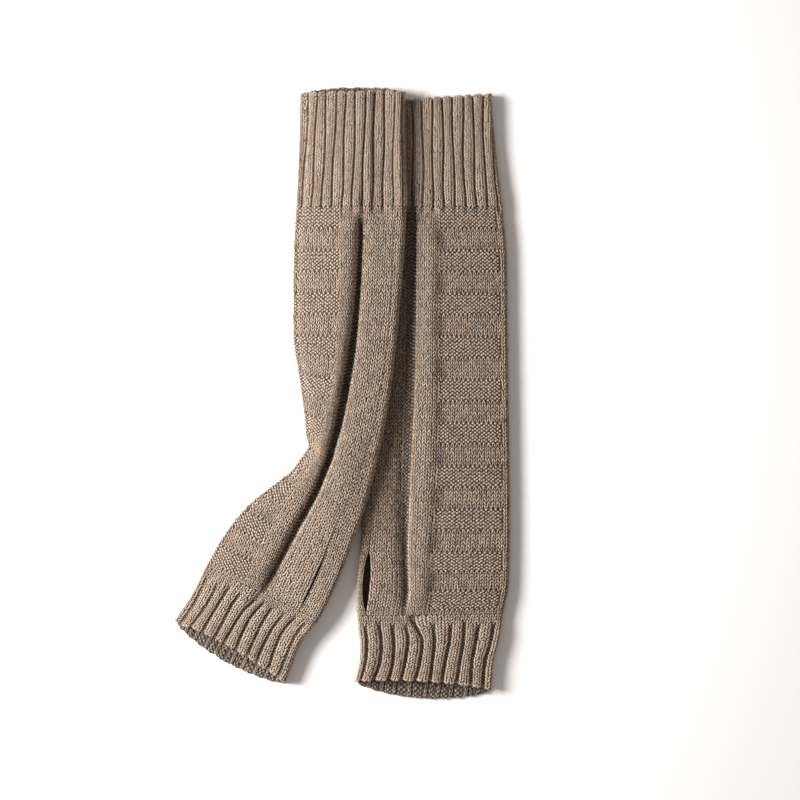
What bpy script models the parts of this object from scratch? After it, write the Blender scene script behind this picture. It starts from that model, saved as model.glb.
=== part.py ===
"""A pair of knitted arm warmers laid flat, the left one lying partly on the right one.

Lengths in the tables are millimetres; the meshes are metres, with +Z up.
+Y runs towards the arm mouths, and the pair rests on z = 0.
Each warmer is a fine-ribbed arm cuff, a plain-knit body and a coarse-ribbed hand cuff.
The body carries a panel of welts, a soft roll beside a deep crease, and a thumb slit.
"""
import math
from collections import namedtuple

import bmesh
import bpy

MM = 0.001
WOOL = (0.36, 0.29, 0.22, 1.0)          # heathered taupe
WOOL_ROUGHNESS = 0.95

# The cloth
WALL = 1.9                              # thickness of the plain knit
SEAM_GAP = 0.3                          # between neighbouring pieces
CENTRE = (0.0, 0.22)                     # middle of the pair's footprint, in the plane of the tables
PANEL_FOLD = (4.0, 8.2)                 # reach and height of the fold beside the welt panel
THUMB_REACH = 3.2                       # reach of the fold beside the thumb slit
THUMB_HEIGHTS = (6.6, 8.2)              # its height where the warmers overlap, and near the hand
APART = (295.0, 345.0)                  # distance down over which it changes from one to the other
ARC_REACH = 1.0 - math.sqrt(0.5)        # where a quarter round's middle lies

# The body's welts, counted down from the arm cuff
WELTS = 19                              # purl and plain bands, purl first and last
WELT = 14.7                             # length of a band
LOW_WELT = 13.2                         # length of the last bands, drawn in by the hand cuff
LOW_WELTS = 3
WELT_RISE = 0.6                         # how far a purl band stands proud
WELT_SLOPE = 0.7                        # half the length over which it rises
BODY_LENGTH = 278.2
ROLL_START = 12.0                       # over which roll and crease grow out of a cuff

# The cuffs
ARM_RIBS = 11                           # ribs across the front
HAND_RIBS = 10
RIB_RISE = 1.0
RIB_SHAPE = ((0.0, 0.0), (0.2, 0.75), (0.5, 1.0), (0.8, 0.75))   # share across, share of the rise
ARM_CUFF_ROWS = ((0.0, 0.35), (2.6, 1.0), (20.0, 1.0), (38.0, 1.0), (56.0, 1.0))
HAND_CUFF_ROWS = ((0.15, 0.35), (3.0, 0.85), (10.0, 1.0), (22.0, 1.0), (33.0, 1.0), (43.0, 1.0))
CUFF_HEIGHT = 8.6
PRESSED_HEIGHT = 6.0                    # where the other warmer lies on the cuff
PRESSED_REACH = (18.0, 30.0)            # from the thumb edge: pressed up to, then full from

# How the left warmer climbs the right one
LIFT = 7.3
LIFT_INSET = 1.0                        # full height this far outside the right one's edge
BACK_RUN = 16.0                         # run of the climb, for the layer underneath
FRONT_RUN = 30.0                        # and for the layer on top

# The line down each warmer: distance down, centre, flat width, lean of the section in degrees
Path = namedtuple("Path", "down x y width lean")
LEFT_PATH = (
    Path(0.0, 6.3, 203.3, 71.6, 0.0),
    Path(29.5, 6.2, 173.8, 72.6, 0.0),
    Path(56.9, 6.0, 146.4, 74.3, 0.0),
    Path(76.0, 5.8, 127.2, 76.0, 0.0),
    Path(104.8, 4.3, 98.5, 76.4, 0.0),
    Path(139.5, 2.7, 63.9, 74.0, 0.5),
    Path(168.6, 1.5, 34.8, 71.0, 2.2),
    Path(192.9, 1.5, 10.4, 65.3, 7.8),
    Path(223.8, 0.9, -20.4, 56.4, 11.9),
    Path(239.9, -0.2, -36.5, 51.7, 18.6),
    Path(251.6, -1.0, -48.1, 49.0, 28.4),
    Path(262.3, -6.2, -57.5, 55.5, 31.6),
    Path(273.0, -11.3, -67.0, 60.0, 32.4),
    Path(284.6, -17.5, -76.7, 65.9, 33.8),
    Path(310.9, -32.9, -98.1, 79.3, 31.2),
    Path(333.1, -44.5, -117.0, 84.9, 26.4),
    Path(354.1, -54.5, -135.5, 86.1, 24.9),
    Path(375.5, -65.8, -153.6, 82.3, 22.5),
    Path(399.7, -76.7, -175.2, 87.4, 29.6),
)
RIGHT_PATH = (
    Path(0.0, 65.8, 200.7, 72.1, -3.5),
    Path(27.6, 66.4, 173.1, 74.7, -1.1),
    Path(54.6, 67.1, 146.1, 78.8, -0.5),
    Path(73.5, 67.8, 127.2, 82.9, 0.0),
    Path(102.3, 68.3, 98.5, 88.0, 0.0),
    Path(150.2, 67.0, 50.5, 92.1, 0.0),
    Path(198.2, 65.9, 2.6, 95.6, 0.0),
    Path(246.2, 64.9, -45.4, 99.0, 0.0),
    Path(287.3, 64.0, -86.5, 101.4, 0.0),
    Path(314.7, 62.8, -113.9, 103.1, 0.0),
    Path(336.0, 61.5, -135.1, 103.8, -0.8),
    Path(351.8, 59.9, -150.9, 100.0, -0.8),
    Path(369.6, 59.4, -168.7, 94.2, 0.0),
    Path(383.5, 57.5, -182.4, 91.1, 0.0),
    Path(400.1, 55.1, -198.8, 92.6, 3.4),
)

# What lies across each body: width of the welt panel, place and half width of the crease
# (all from the panel's edge), and the height of the plain band beyond it
Folds = namedtuple("Folds", "down panel crease valley puff")
LEFT_FOLDS = (
    Folds(76.0, 30.5, 45.5, 1.5, 8.0),
    Folds(104.8, 32.2, 46.6, 1.5, 8.2),
    Folds(139.5, 32.5, 44.5, 1.5, 8.4),
    Folds(168.6, 30.0, 41.5, 1.5, 8.4),
    Folds(192.9, 25.5, 35.0, 1.5, 8.4),
    Folds(223.8, 14.5, 25.4, 1.5, 8.6),
    Folds(251.6, 8.0, 17.0, 1.5, 8.8),
    Folds(284.6, 11.0, 28.0, 1.5, 8.8),
    Folds(310.9, 20.8, 38.5, 1.5, 8.6),
    Folds(333.1, 27.7, 42.9, 1.5, 8.4),
    Folds(354.1, 29.0, 43.0, 1.5, 8.0),
)
RIGHT_FOLDS = (
    Folds(73.5, 43.0, 62.3, 3.2, 6.8),
    Folds(102.3, 45.5, 65.4, 3.2, 6.8),
    Folds(150.2, 46.8, 66.4, 3.2, 6.8),
    Folds(198.2, 47.3, 67.8, 3.0, 6.8),
    Folds(246.2, 48.8, 70.2, 2.4, 6.9),
    Folds(287.3, 51.4, 71.6, 1.8, 7.6),
    Folds(314.7, 53.4, 71.4, 1.5, 8.4),
    Folds(351.8, 52.5, 68.5, 1.5, 8.4),
)

# The body's front, zone by zone: share across the zone, height, and depth of the inner face below
# it, which is more than the wall where the surface is steep
Front = namedtuple("Front", "share height depth")
PANEL_FRONT = (Front(0.12, 8.7, WALL), Front(0.4, 9.0, WALL), Front(0.7, 8.9, WALL),
               Front(0.95, 8.6, WALL))
ROLL_FRONT = (Front(0.1, 9.5, 2.1), Front(0.3, 11.8, 2.6), Front(0.52, 12.6, 2.1),
              Front(0.74, 11.5, 3.2), Front(0.93, 8.8, 3.6))
CREASE_HEIGHT = 6.0
CREASE_DEPTH = 2.5
CREASE_FLOOR = 0.5                      # flat share of the crease's width
BAND_FRONT = (Front(0.06, -0.6, 2.6), Front(0.35, 0.0, WALL), Front(0.7, -0.1, WALL),
              Front(1.0, -0.4, WALL))   # heights over the puff

# How far the mouths' edges stand out from a straight cut, in the middle
Mouths = namedtuple("Mouths", "arm_front arm_back hand_front hand_back")
MOUTH_FADE = 14.0                       # over which the edge's curve dies away
MOUTH_ROUND = 0.6                       # power of the sine along the edge: lower is fuller

Warmer = namedtuple("Warmer", "name side path folds seam slit gape mouths climbs")
LEFT = Warmer("left", 1, LEFT_PATH, LEFT_FOLDS, 76.0, 15.2, 2.0, Mouths(0.3, 5.2, -3.4, 8.4), True)
RIGHT = Warmer("right", -1, RIGHT_PATH, RIGHT_FOLDS, 73.5, 6.4, 5.2, Mouths(0.2, 0.5, -3.6, 9.0), False)
SLIT_END = 0.7                          # width at which a slit closes
SLIT_ROUND = 0.6                        # power of the sine along its lips
SLIT_MARGIN = 1.2                       # from a slit's lip to the next point of the band
LIP_DROP = 0.7                          # of a slit's lip under the band

# Columns of points underneath: in millimetres from the thumb edge where the sleeve climbs,
# then in shares of the width
CLIMB_COLUMNS = (7.0, 11.0, 15.0, 19.0, 23.0, 28.0, 34.0)
CLIMB_SHARES = (0.62, 0.8)
FLAT_SHARES = (0.13, 0.26, 0.38, 0.5, 0.62, 0.8)
BODY_SHARES = (0.5,)

# A point of a section: across, height, height on the inner face (None where it has no point)
Point = namedtuple("Point", "across height inner_across inner_height")


def smooth(value):
    """Ease from 0 to 1."""
    value = min(1.0, max(0.0, value))
    return value * value * (3.0 - 2.0 * value)


def slope(rows, column, index):
    """Slope of a column at a row, from its neighbours."""
    before = rows[max(0, index - 1)]
    after = rows[min(len(rows) - 1, index + 1)]
    return (getattr(after, column) - getattr(before, column)) / (after.down - before.down)


def read(rows, column, down):
    """Value of a column on a smooth curve through the rows of a table."""
    index = 0
    while index < len(rows) - 2 and rows[index + 1].down < down:
        index += 1
    first, second = rows[index], rows[index + 1]
    length = second.down - first.down
    share = (down - first.down) / length
    start, end = getattr(first, column), getattr(second, column)
    if share <= 0.0 or share >= 1.0:
        return start + (end - start) * share
    start_slope = slope(rows, column, index) * length
    end_slope = slope(rows, column, index + 1) * length
    square, cube = share ** 2, share ** 3
    return (start * (2 * cube - 3 * square + 1) + start_slope * (cube - 2 * square + share)
            + end * (3 * square - 2 * cube) + end_slope * (cube - square))


def lift(x, y, run):
    """Height by which the right warmer carries the left one, at a place in the plane."""
    down = RIGHT_PATH[0].y - y
    edge = read(RIGHT_PATH, "x", down) - read(RIGHT_PATH, "width", down) / 2
    return LIFT * smooth((x - edge + run) / (run - LIFT_INSET))


def place(warmer, down, across, height, out=0.0):
    """World point of a section's point, pushed out along the sleeve, in metres."""
    lean = math.radians(read(warmer.path, "lean", down))
    reach = (across - read(warmer.path, "width", down) / 2) * warmer.side
    x = read(warmer.path, "x", down) + reach * math.cos(lean) - out * math.sin(lean)
    y = read(warmer.path, "y", down) - reach * math.sin(lean) - out * math.cos(lean)
    if warmer.climbs:
        front = smooth((height - WALL) / (THUMB_HEIGHTS[0] - 2 * WALL))
        height += lift(x, y, BACK_RUN) * (1.0 - front) + lift(x, y, FRONT_RUN) * front
    return ((x - CENTRE[0]) * MM, (y - CENTRE[1]) * MM, height * MM)


def mouth_curve(warmer, down, across, height):
    """How far a point near a mouth stands out from a straight cut."""
    width = read(warmer.path, "width", down)
    length = warmer.path[-1].down
    bulge = math.sin(math.pi * min(1.0, max(0.0, across / width))) ** MOUTH_ROUND
    front = smooth(height / CUFF_HEIGHT)
    at_arm = 1.0 - smooth(down / MOUTH_FADE)
    at_hand = 1.0 - smooth((length - down) / MOUTH_FADE)
    arm = warmer.mouths.arm_back * (1.0 - front) + warmer.mouths.arm_front * front
    hand = warmer.mouths.hand_back * (1.0 - front) + warmer.mouths.hand_front * front
    return bulge * (at_hand * hand - at_arm * arm)


def apart(down):
    """0 where one warmer lies on the other, 1 where they have parted."""
    return smooth((down - APART[0]) / (APART[1] - APART[0]))


def cuff_height(down, across):
    """Height of a cuff's front over the surface, without its ribs."""
    low, full = PRESSED_REACH
    share = max(smooth((across - low) / (full - low)), apart(down))
    return PRESSED_HEIGHT + (CUFF_HEIGHT - PRESSED_HEIGHT) * share


def panel_fold():
    """Points round the fold beside the welt panel, from underneath to the front."""
    reach, height = PANEL_FOLD
    near, low, high = reach * ARC_REACH, height / 2 * ARC_REACH, height - height / 2 * ARC_REACH
    return [Point(reach, 0.0, reach, WALL), Point(near, low, None, None),
            Point(0.0, height / 2, WALL, height / 2), Point(near, high, None, None),
            Point(reach, height, reach, height - WALL)]


def thumb_height(down):
    """Height of the fold beside the thumb slit."""
    return THUMB_HEIGHTS[0] + (THUMB_HEIGHTS[1] - THUMB_HEIGHTS[0]) * apart(down)


def thumb_fold(down, width):
    """Points round the fold beside the thumb slit, from the front to underneath."""
    reach, height = THUMB_REACH, thumb_height(down)
    near, low, high = reach * ARC_REACH, height / 2 * ARC_REACH, height - height / 2 * ARC_REACH
    return [Point(width - reach, height, width - reach, height - WALL),
            Point(width - near, high, None, None),
            Point(width, height / 2, width - WALL, height / 2),
            Point(width - near, low, None, None),
            Point(width - reach, 0.0, width - reach, WALL)]


def underside(warmer, width, shares):
    """Points under the warmer, from the thumb fold to the panel fold."""
    columns = CLIMB_COLUMNS if warmer.climbs else ()
    places = [width - column for column in columns] + [width * (1.0 - share) for share in shares]
    return [Point(across, 0.0, across, WALL) for across in places]


def cuff_section(warmer, down, ribs, rise):
    """Points round a ribbed cuff."""
    width = read(warmer.path, "width", down)
    start, end = PANEL_FOLD[0], width - THUMB_REACH
    pitch = (end - start) / ribs
    points = panel_fold()
    for rib in range(ribs):
        for share, shape in RIB_SHAPE:
            across = start + (rib + share) * pitch
            base = cuff_height(down, width - across)
            inner = (across, base - WALL) if share == 0.0 else (None, None)
            if across > start:
                points.append(Point(across, base + RIB_RISE * rise * shape, *inner))
    shares = CLIMB_SHARES if warmer.climbs else FLAT_SHARES
    return points + thumb_fold(down, width) + underside(warmer, width, shares)


def slit_width(warmer, down):
    """Width of the gaping thumb slit, which runs down the last bands."""
    start = warmer.seam + welt_start(WELTS - LOW_WELTS) + WELT_SLOPE
    end = warmer.seam + welt_start(WELTS) - WELT_SLOPE
    share = min(1.0, max(0.0, (down - start) / (end - start)))
    return SLIT_END + (warmer.gape - SLIT_END) * math.sin(math.pi * share) ** SLIT_ROUND


def body_section(warmer, down, welt):
    """Points round the body, with the index of the slit's first lip."""
    width = read(warmer.path, "width", down)
    panel = read(warmer.folds, "panel", down)
    crease = read(warmer.folds, "crease", down)
    valley = read(warmer.folds, "valley", down)
    puff = read(warmer.folds, "puff", down)
    half_slit = slit_width(warmer, down) / 2
    lip = width - warmer.slit - half_slit
    far_lip = width - warmer.slit + half_slit
    from_ends = min(down - warmer.seam, warmer.seam + BODY_LENGTH - down)
    grown = smooth(from_ends / ROLL_START)

    zones = ((PANEL_FRONT, PANEL_FOLD[0], panel, 0.0, WELT_RISE * welt),
             (ROLL_FRONT, panel, crease - valley, 0.0, 0.0),
             (BAND_FRONT, crease + valley, lip - SLIT_MARGIN, puff, 0.0))
    front = []
    for rows, start, end, over, rise in zones:
        front += [(start + (end - start) * row.share, row.height + over, row.depth, rise) for row in rows]
        if rows is ROLL_FRONT:
            front += [(crease + side * valley * CREASE_FLOOR, CREASE_HEIGHT, CREASE_DEPTH, 0.0)
                      for side in (-1, 1)]
    front.append((lip, puff - LIP_DROP, WALL, 0.0))
    front.append((far_lip, (puff + thumb_height(down) - LIP_DROP) / 2, WALL, 0.0))

    points = panel_fold()
    for across, height, depth, rise in front:
        base = cuff_height(down, width - across) * (1.0 - grown) + height * grown
        inner_height = base - WALL * (1.0 - grown) - depth * grown
        points.append(Point(across, base + rise, across, inner_height))
    slit_column = len(points) - 2
    shares = () if warmer.climbs else BODY_SHARES
    return points + thumb_fold(down, width) + underside(warmer, width, shares), slit_column


def welt_start(index):
    """Distance from the arm cuff's seam to a welt."""
    full = min(index, WELTS - LOW_WELTS)
    return full * WELT + (index - full) * LOW_WELT


def body_rows(warmer):
    """Rows down the body: distance down, welt raised or not, inner face has a row or not."""
    rows = [(warmer.seam + SEAM_GAP / 2, 0, True)]
    for index in range(WELTS):
        raised = 1 - index % 2
        by_slit = index >= WELTS - LOW_WELTS
        rows.append((warmer.seam + welt_start(index) + WELT_SLOPE, raised, True))
        rows.append((warmer.seam + welt_start(index + 1) - WELT_SLOPE, raised, by_slit))
    rows.append((warmer.seam + BODY_LENGTH - SEAM_GAP / 2, 0, True))
    return rows


def ring_faces(mesh, rings, skipped=()):
    """Close neighbouring rings with quads, leaving out the skipped (row, column) ones."""
    for row, (first, second) in enumerate(zip(rings, rings[1:])):
        for column in range(len(first)):
            following = (column + 1) % len(first)
            if (row, column) not in skipped:
                mesh.faces.new((first[column], first[following], second[following], second[column]))


def rim_faces(mesh, outer, inner, links):
    """Close a mouth between its outer and inner ring, whose points start at the linked ones."""
    for index, vertex in enumerate(inner):
        following = inner[(index + 1) % len(inner)]
        steps = (links[(index + 1) % len(inner)] - links[index]) % len(outer)
        middle = (steps + 1) // 2
        for step in range(steps):
            corner = vertex if step < middle else following
            first = (links[index] + step) % len(outer)
            mesh.faces.new((corner, outer[first], outer[(first + 1) % len(outer)]))
        mesh.faces.new((vertex, outer[(links[index] + middle) % len(outer)], following))


def slit_faces(mesh, outer, inner):
    """Close the cut edges of the slit: four walls between the two faces of the cloth."""
    for side in (0, 1):
        for row in range(len(outer) - 1):
            mesh.faces.new((outer[row][side], outer[row + 1][side], inner[row + 1][side], inner[row][side]))
    for row in (0, -1):
        mesh.faces.new((outer[row][0], outer[row][1], inner[row][1], inner[row][0]))


def sleeve(name, warmer, rows, slit_rows=None):
    """A wall of cloth through the rows: (down, points, inner face has a row, slit column)."""
    mesh = bmesh.new()
    outer, inner, cuts = [], [], []
    for index, (down, points, has_inner, slit_column) in enumerate(rows):
        ring = [mesh.verts.new(place(warmer, down, point.across, point.height,
                                     mouth_curve(warmer, down, point.across, point.height)))
                for point in points]
        outer.append(ring)
        if not has_inner:
            continue
        links = [column for column, point in enumerate(points) if point.inner_height is not None]
        lining = []
        for column in links:
            point = points[column]
            out = mouth_curve(warmer, down, point.across, point.height)
            spot = place(warmer, down, point.inner_across, point.inner_height, out)
            lining.append(mesh.verts.new(spot))
        inner.append(lining)
        if slit_rows and index in slit_rows:
            first = links.index(slit_column)
            cuts.append((len(outer) - 1, len(inner) - 1, slit_column, first))
    ring_faces(mesh, outer, {(row, column) for row, _, column, _ in cuts[:-1]})
    ring_faces(mesh, inner, {(row, column) for _, row, _, column in cuts[:-1]})
    if cuts:
        slit_faces(mesh, [outer[row][column:column + 2] for row, _, column, _ in cuts],
                   [inner[row][column:column + 2] for _, row, _, column in cuts])
    for end in (0, -1):
        rim_faces(mesh, outer[end], inner[end], links)
    bmesh.ops.recalc_face_normals(mesh, faces=mesh.faces)
    return finish(name, mesh)


def finish(name, mesh):
    """Make a named object of a mesh, with its own wool."""
    data = bpy.data.meshes.new(name)
    mesh.to_mesh(data)
    mesh.free()
    piece = bpy.data.objects.new(name, data)
    bpy.context.scene.collection.objects.link(piece)
    data.materials.append(wool(name))
    data.shade_smooth()
    data.set_sharp_from_angle(angle=math.radians(50.0))
    return piece


def wool(name):
    """The matt heathered wool of a piece."""
    material = bpy.data.materials.new(name + "_wool")
    material.use_nodes = True
    shader = material.node_tree.nodes["Principled BSDF"]
    shader.inputs["Base Color"].default_value = WOOL
    shader.inputs["Roughness"].default_value = WOOL_ROUGHNESS
    shader.inputs["Metallic"].default_value = 0.0
    return material


def arm_cuff(warmer):
    """The fine-ribbed cuff at the arm."""
    rows = ARM_CUFF_ROWS + ((warmer.seam - 4.0, 1.0), (warmer.seam - SEAM_GAP / 2, 0.4))
    sections = [(down, cuff_section(warmer, down, ARM_RIBS, rise), True, None) for down, rise in rows]
    return sleeve(warmer.name + "_arm_cuff", warmer, sections)


def body(warmer):
    """The body with its welt panel, roll, crease and thumb slit."""
    sections = []
    for down, welt, has_inner in body_rows(warmer):
        points, slit_column = body_section(warmer, down, welt)
        sections.append((down, points, has_inner, slit_column))
    last = len(sections) - 2
    slit_rows = range(last - 2 * LOW_WELTS + 1, last + 1)
    return sleeve(warmer.name + "_body", warmer, sections, slit_rows)


def hand_cuff(warmer):
    """The coarse-ribbed cuff at the hand."""
    seam = warmer.seam + BODY_LENGTH
    rows = tuple((seam + down, rise) for down, rise in HAND_CUFF_ROWS)
    rows += ((warmer.path[-1].down, 0.5),)
    sections = [(down, cuff_section(warmer, down, HAND_RIBS, rise), True, None) for down, rise in rows]
    return sleeve(warmer.name + "_hand_cuff", warmer, sections)


def clear_scene():
    """Start from nothing."""
    for thing in list(bpy.data.objects):
        bpy.data.objects.remove(thing, do_unlink=True)


def main():
    """Build both warmers."""
    clear_scene()
    for warmer in (LEFT, RIGHT):
        arm_cuff(warmer)
        body(warmer)
        hand_cuff(warmer)


main()
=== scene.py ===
"""The looks of a pair of knitted arm warmers that lie flat, the left one partly on the right one.

Lengths in the tables and in the names below are millimetres; the meshes are metres, with +Z up.
Each warmer is a tube of cloth in three pieces, laid along a line that is given by stations.
A place on a tube is given by its distance down from the arm mouth and its distance across,
from the edge beside the welt panel to the edge beside the thumb slit.
The cloth is a thin shell, and every stitch on it is modelled as the yarn that shows: two legs for
a plain stitch and two short bumps for a purl stitch. Stitches are placed by wale (a column of
stitches) and course (a row of stitches), which follow the roll, the crease and the edges.
"""

import logging
import math
from dataclasses import dataclass, field
from enum import Enum
from functools import partial
from typing import Sequence

import bpy
import numpy as np
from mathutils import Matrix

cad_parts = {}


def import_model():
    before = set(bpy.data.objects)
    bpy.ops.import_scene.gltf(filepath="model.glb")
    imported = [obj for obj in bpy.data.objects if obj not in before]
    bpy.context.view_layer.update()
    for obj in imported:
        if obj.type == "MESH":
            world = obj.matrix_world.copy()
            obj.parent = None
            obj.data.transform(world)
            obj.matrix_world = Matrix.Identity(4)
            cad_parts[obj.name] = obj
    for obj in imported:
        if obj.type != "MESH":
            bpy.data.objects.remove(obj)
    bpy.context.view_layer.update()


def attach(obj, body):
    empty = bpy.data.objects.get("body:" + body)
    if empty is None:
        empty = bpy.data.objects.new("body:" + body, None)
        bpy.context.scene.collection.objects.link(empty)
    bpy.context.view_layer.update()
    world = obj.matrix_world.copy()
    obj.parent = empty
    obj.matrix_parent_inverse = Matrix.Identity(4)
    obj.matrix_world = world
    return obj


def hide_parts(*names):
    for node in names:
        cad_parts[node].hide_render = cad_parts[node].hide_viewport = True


LOG = logging.getLogger("arm_warmers")
MM = 0.001
LEAST = 1e-12                           # length under which a direction isn't scaled up
NEAR = 0.01                             # within which two distances count as one
ROOT = "root"
Array = np.ndarray

# The camera stands straight above a point of the pair, and its picture is square
CAMERA_PLACE = (39.4, -4.5)
CAMERA_HEIGHT = 1294.0
CAMERA_LENS = 85.0
SENSOR = 36.0

# The cloth
WALL = 1.9                              # thickness of the plain knit
SEAM_GAP = 0.3                          # between neighbouring pieces
SINK = 0.6                              # of the stitches' middles under the cloth's top
SHELL_SINK = 1.1                        # of the shell under it
CENTRE = (0.0, 0.22)                    # middle of the pair's footprint, in the plane of the tables
PANEL_REACH = 2.8                       # of the fold beside the welt panel
THUMB_HEIGHTS = (8.4, 9.4)              # of the fold by the slit: warmers together, and apart
APART = (295.0, 345.0)                  # distance down over which they part

# The body's welts, counted down from the arm cuff
WELTS = 19                              # purl and plain bands, purl first and last
WELT = 14.7                             # length of a band
LOW_WELT = 13.2                         # length of the last bands, drawn in by the hand cuff
LOW_WELTS = 3
WELT_COURSES = 6
LAST_COURSES = 2                        # plain ones beyond the last band
WELT_RISE = 0.42                        # how far a purl band stands proud
WELT_EASE = 0.9                         # courses over which it rises
WELT_SLOPE = 0.7                        # from a band's end to the end of the slit beside it
WELT_FRONT = 4.0                        # height over the back by which bands are full
PANEL_EASE = 1.5                        # wales over which a band fades at the panel's edges
ROLL_DIP = 0.9                          # how far a plain band dips beside the roll
DIP_WALES = (1.2, 1.3)                  # from the roll to the middle of the dip, and its reach
BODY_LENGTH = 278.2
ROLL_STARTS = (18.0, 14.0)              # over which roll and crease grow at the arm, the hand
RUN_ON = 0.3                            # share of them left at the hand cuff's seam
ROLL_RUN_ON = (0.8, -0.9, 0.8)          # in the cuff: the roll's height, place and reach in ribs
CREASE_RUN_ON = (2.4, 0.3)              # and the crease's depth and reach
TROUGH = 19.0                           # over which both die away in the hand cuff
PUFF_CREST = 0.3                        # of the plain band, over the height in its table
END_FADE = 3.0                          # over which relief dies away at the body's end

# The cuffs
CUFF_COURSE = 1.95
RIB_FADE = 7.0                          # over which ribs die away in the body
RIB_FRONT = 3.0                         # height over the back by which ribs are full
UNDER_GROOVE = 0.35                     # depth of a groove underneath
GROOVE_EASE = (0.12, 0.85)              # wales from a groove's middle to its wall, and to the top
RIB_ROUND = 0.25                        # share of a rib's form that is round, not flat
PURL_GROWN = 0.25                       # how far a groove has grown where its stitches turn purl
CUFF_HEIGHT = 8.6
SCALLOP = 1.3                           # by which a rib's end stands out further than a groove's
SCALLOP_RUN = 7.0                       # over which that dies away
SWAY_RUN = 12.0                         # length over which a rib sways, in and out
SWAY_TURN = 2.2                         # by which a rib's sway is out of step with the next one's
BEND_REACH = 1.05                       # ribs over which the bend of the crease's groove dies away
RIBS_BEYOND = 20                        # ribs set out beyond the first groove and the last
PRESSED_HEIGHT = 6.0                    # where the other warmer lies on the cuff
PRESSED_REACH = (18.0, 30.0)            # from the thumb edge: pressed up to, then full from

# How the left warmer climbs the right one
LIFT = 7.3
LIFT_INSET = 1.0                        # full height this far outside the right one's edge
BACK_RUN = 16.0                         # run of the climb, for the layer underneath
FRONT_RUN = 70.0                        # and for the layer on top

# The mouths and the slit
MOUTH_FADE = 14.0                       # over which a mouth's curve dies away
MOUTH_ROUND = 0.6                       # power of the sine along its edge: lower is fuller
SLIT_END = 0.7                          # width at which a slit closes
SLIT_ROUND = 0.6                        # power of the sine along its lips
SLIT_MARGIN = 1.2                       # from a slit's lip to the next point of the band
LIP_DROP = 0.7                          # of a slit's lip under the band
LIP_RUN = 12.0                          # length over which it drops, before the slit
DRAWN_IN = 40.0                         # length before the slit over which wales draw in to its lip
SPLIT_GAP = 0.1                         # least distance over which the slit's wales are split

# Stitches
WALE = 3.1                              # usual width of a wale
COURSE = 2.45                           # usual height of a course
WALE_STEP = 0.25                        # of the grid in which stitches are placed
COURSE_STEP = 0.5
ROLL_WALES = 6
VALLEY_WALES = 1                        # purl wales between the roll and the crease
PANEL_WALES = 14
SLIT_WALE = 8                           # wales from the crease to the slit
SPLIT_WALES = WALE_STEP                 # that the slit takes up
PANEL_EDGE = -VALLEY_WALES - ROLL_WALES
CHAIN_INSET = 5.0                       # of the plain chain beside the straight warmer's panel
FAR_WALES = 80.0                        # that wale lines run on past the last one
ROOM = 0.4                              # of a wale, between a stitch and the line where wales meet
CRUMPLED = 0.05                         # share of the usual volume under which strands are left out
UNDERSIDE = 0.8                         # height under which the cloth lies face down
MOUTH_COURSES = 5                       # that show inside a mouth
INSIDE_RISE = 0.9                       # of a rib's back inside a mouth
SHELL_STEPS = 8                         # points from rib to rib of a cuff's shell
GRID_STEPS = 4                          # and of the grid that carries its stitches
INNER_SLACK = 0.2                       # depth of a groove before the inner face gives way

# The yarn's tones, and the light and shade painted on them
YARN_TONE = 0.72
SHELL_SHADE_TONES = (0.08, 0.1)               # painted shade: tones of the shell's outer and inner face, dark for the shade between the strands and inside the tube
RELIEF_SHADE = 0.12                     # painted light and shade: how much lighter the yarn is painted for each millimetre of relief, and darker in grooves
RELIEF_RANGE = (-1.5, 0.6)              # of the relief that counts
CREASE_SHADE = 0.4                      # painted shade: how much darker the yarn is painted in the crease
CREASE_REACH = 1.8                      # wales to either side that get the painted shade
BESIDE_WELT_SHADE = 0.15                      # painted shade: how much darker the plain courses next to a band are painted
UNDER_SHADE = 0.2                       # painted shadow: how much darker it is under the edge of the other warmer
COVERED_WALES = (2.0, 7.0, 3.0)         # wales that the painted shadow takes to begin, the wale where it ends, and to end
PANEL_FADE = 2.0                        # wales over which the panel's painted light or shade begins
INSIDE_SHADE = -0.45                     # painted shade: how much darker the yarn is painted inside a mouth
INSIDE_LUMP_LIGHT = 0.3                       # painted light: added on a rib's back there
INSIDE_DEEP_SHADE = (0.15, 7.0)              # painted shade: taken away further in, and over which length
STREAK = 8                              # steps of the grid over which the yarn keeps its tone
UNROLLED = 100                          # courses of cloth that at least fit in the unrolled square


@dataclass(frozen=True)
class Station:
    """A place down a sleeve: its middle, its flat width, and the lean of its section in degrees."""

    down: float
    x: float
    y: float
    width: float
    lean: float


@dataclass(frozen=True)
class Folds:
    """What lies across a body: the welt panel's width, the crease's place and half width, and the
    height of the plain band beyond it."""

    down: float
    panel: float
    crease: float
    valley: float
    puff: float


@dataclass(frozen=True)
class Front:
    """A point of a front zone: share across the zone, height, and depth of the inner face below."""

    share: float
    height: float
    depth: float = WALL


@dataclass(frozen=True)
class Mouths:
    """How far the mouths' edges stand out from a straight cut, in the middle."""

    arm_front: float
    arm_back: float
    hand_front: float
    hand_back: float


LEFT_STATIONS = tuple(Station(*row) for row in (
    (0.0, 6.3, 203.3, 71.6, 0.0), (29.5, 6.2, 173.8, 72.6, 0.0), (56.9, 6.0, 146.4, 74.3, 0.0),
    (76.0, 5.8, 127.2, 76.0, 0.0), (104.8, 4.3, 98.5, 76.4, 0.0), (139.5, 2.7, 63.9, 74.0, 0.5),
    (168.6, 1.5, 34.8, 71.0, 2.2), (192.9, 1.5, 10.4, 65.3, 7.8), (223.8, 0.9, -20.4, 56.4, 11.9),
    (239.9, -0.6, -36.3, 52.6, 18.6), (251.6, -1.8, -47.7, 50.8, 28.0),
    (262.3, -5.8, -57.8, 54.6, 31.6), (273.0, -10.5, -67.5, 58.2, 32.4),
    (284.6, -17.0, -77.0, 64.8, 33.8), (310.9, -32.9, -98.1, 79.3, 31.2),
    (333.1, -44.5, -117.0, 84.9, 26.4), (354.1, -54.5, -135.5, 86.1, 24.9),
    (375.5, -65.8, -153.6, 82.3, 22.5), (399.7, -76.7, -175.2, 87.4, 29.6)
))
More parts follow.
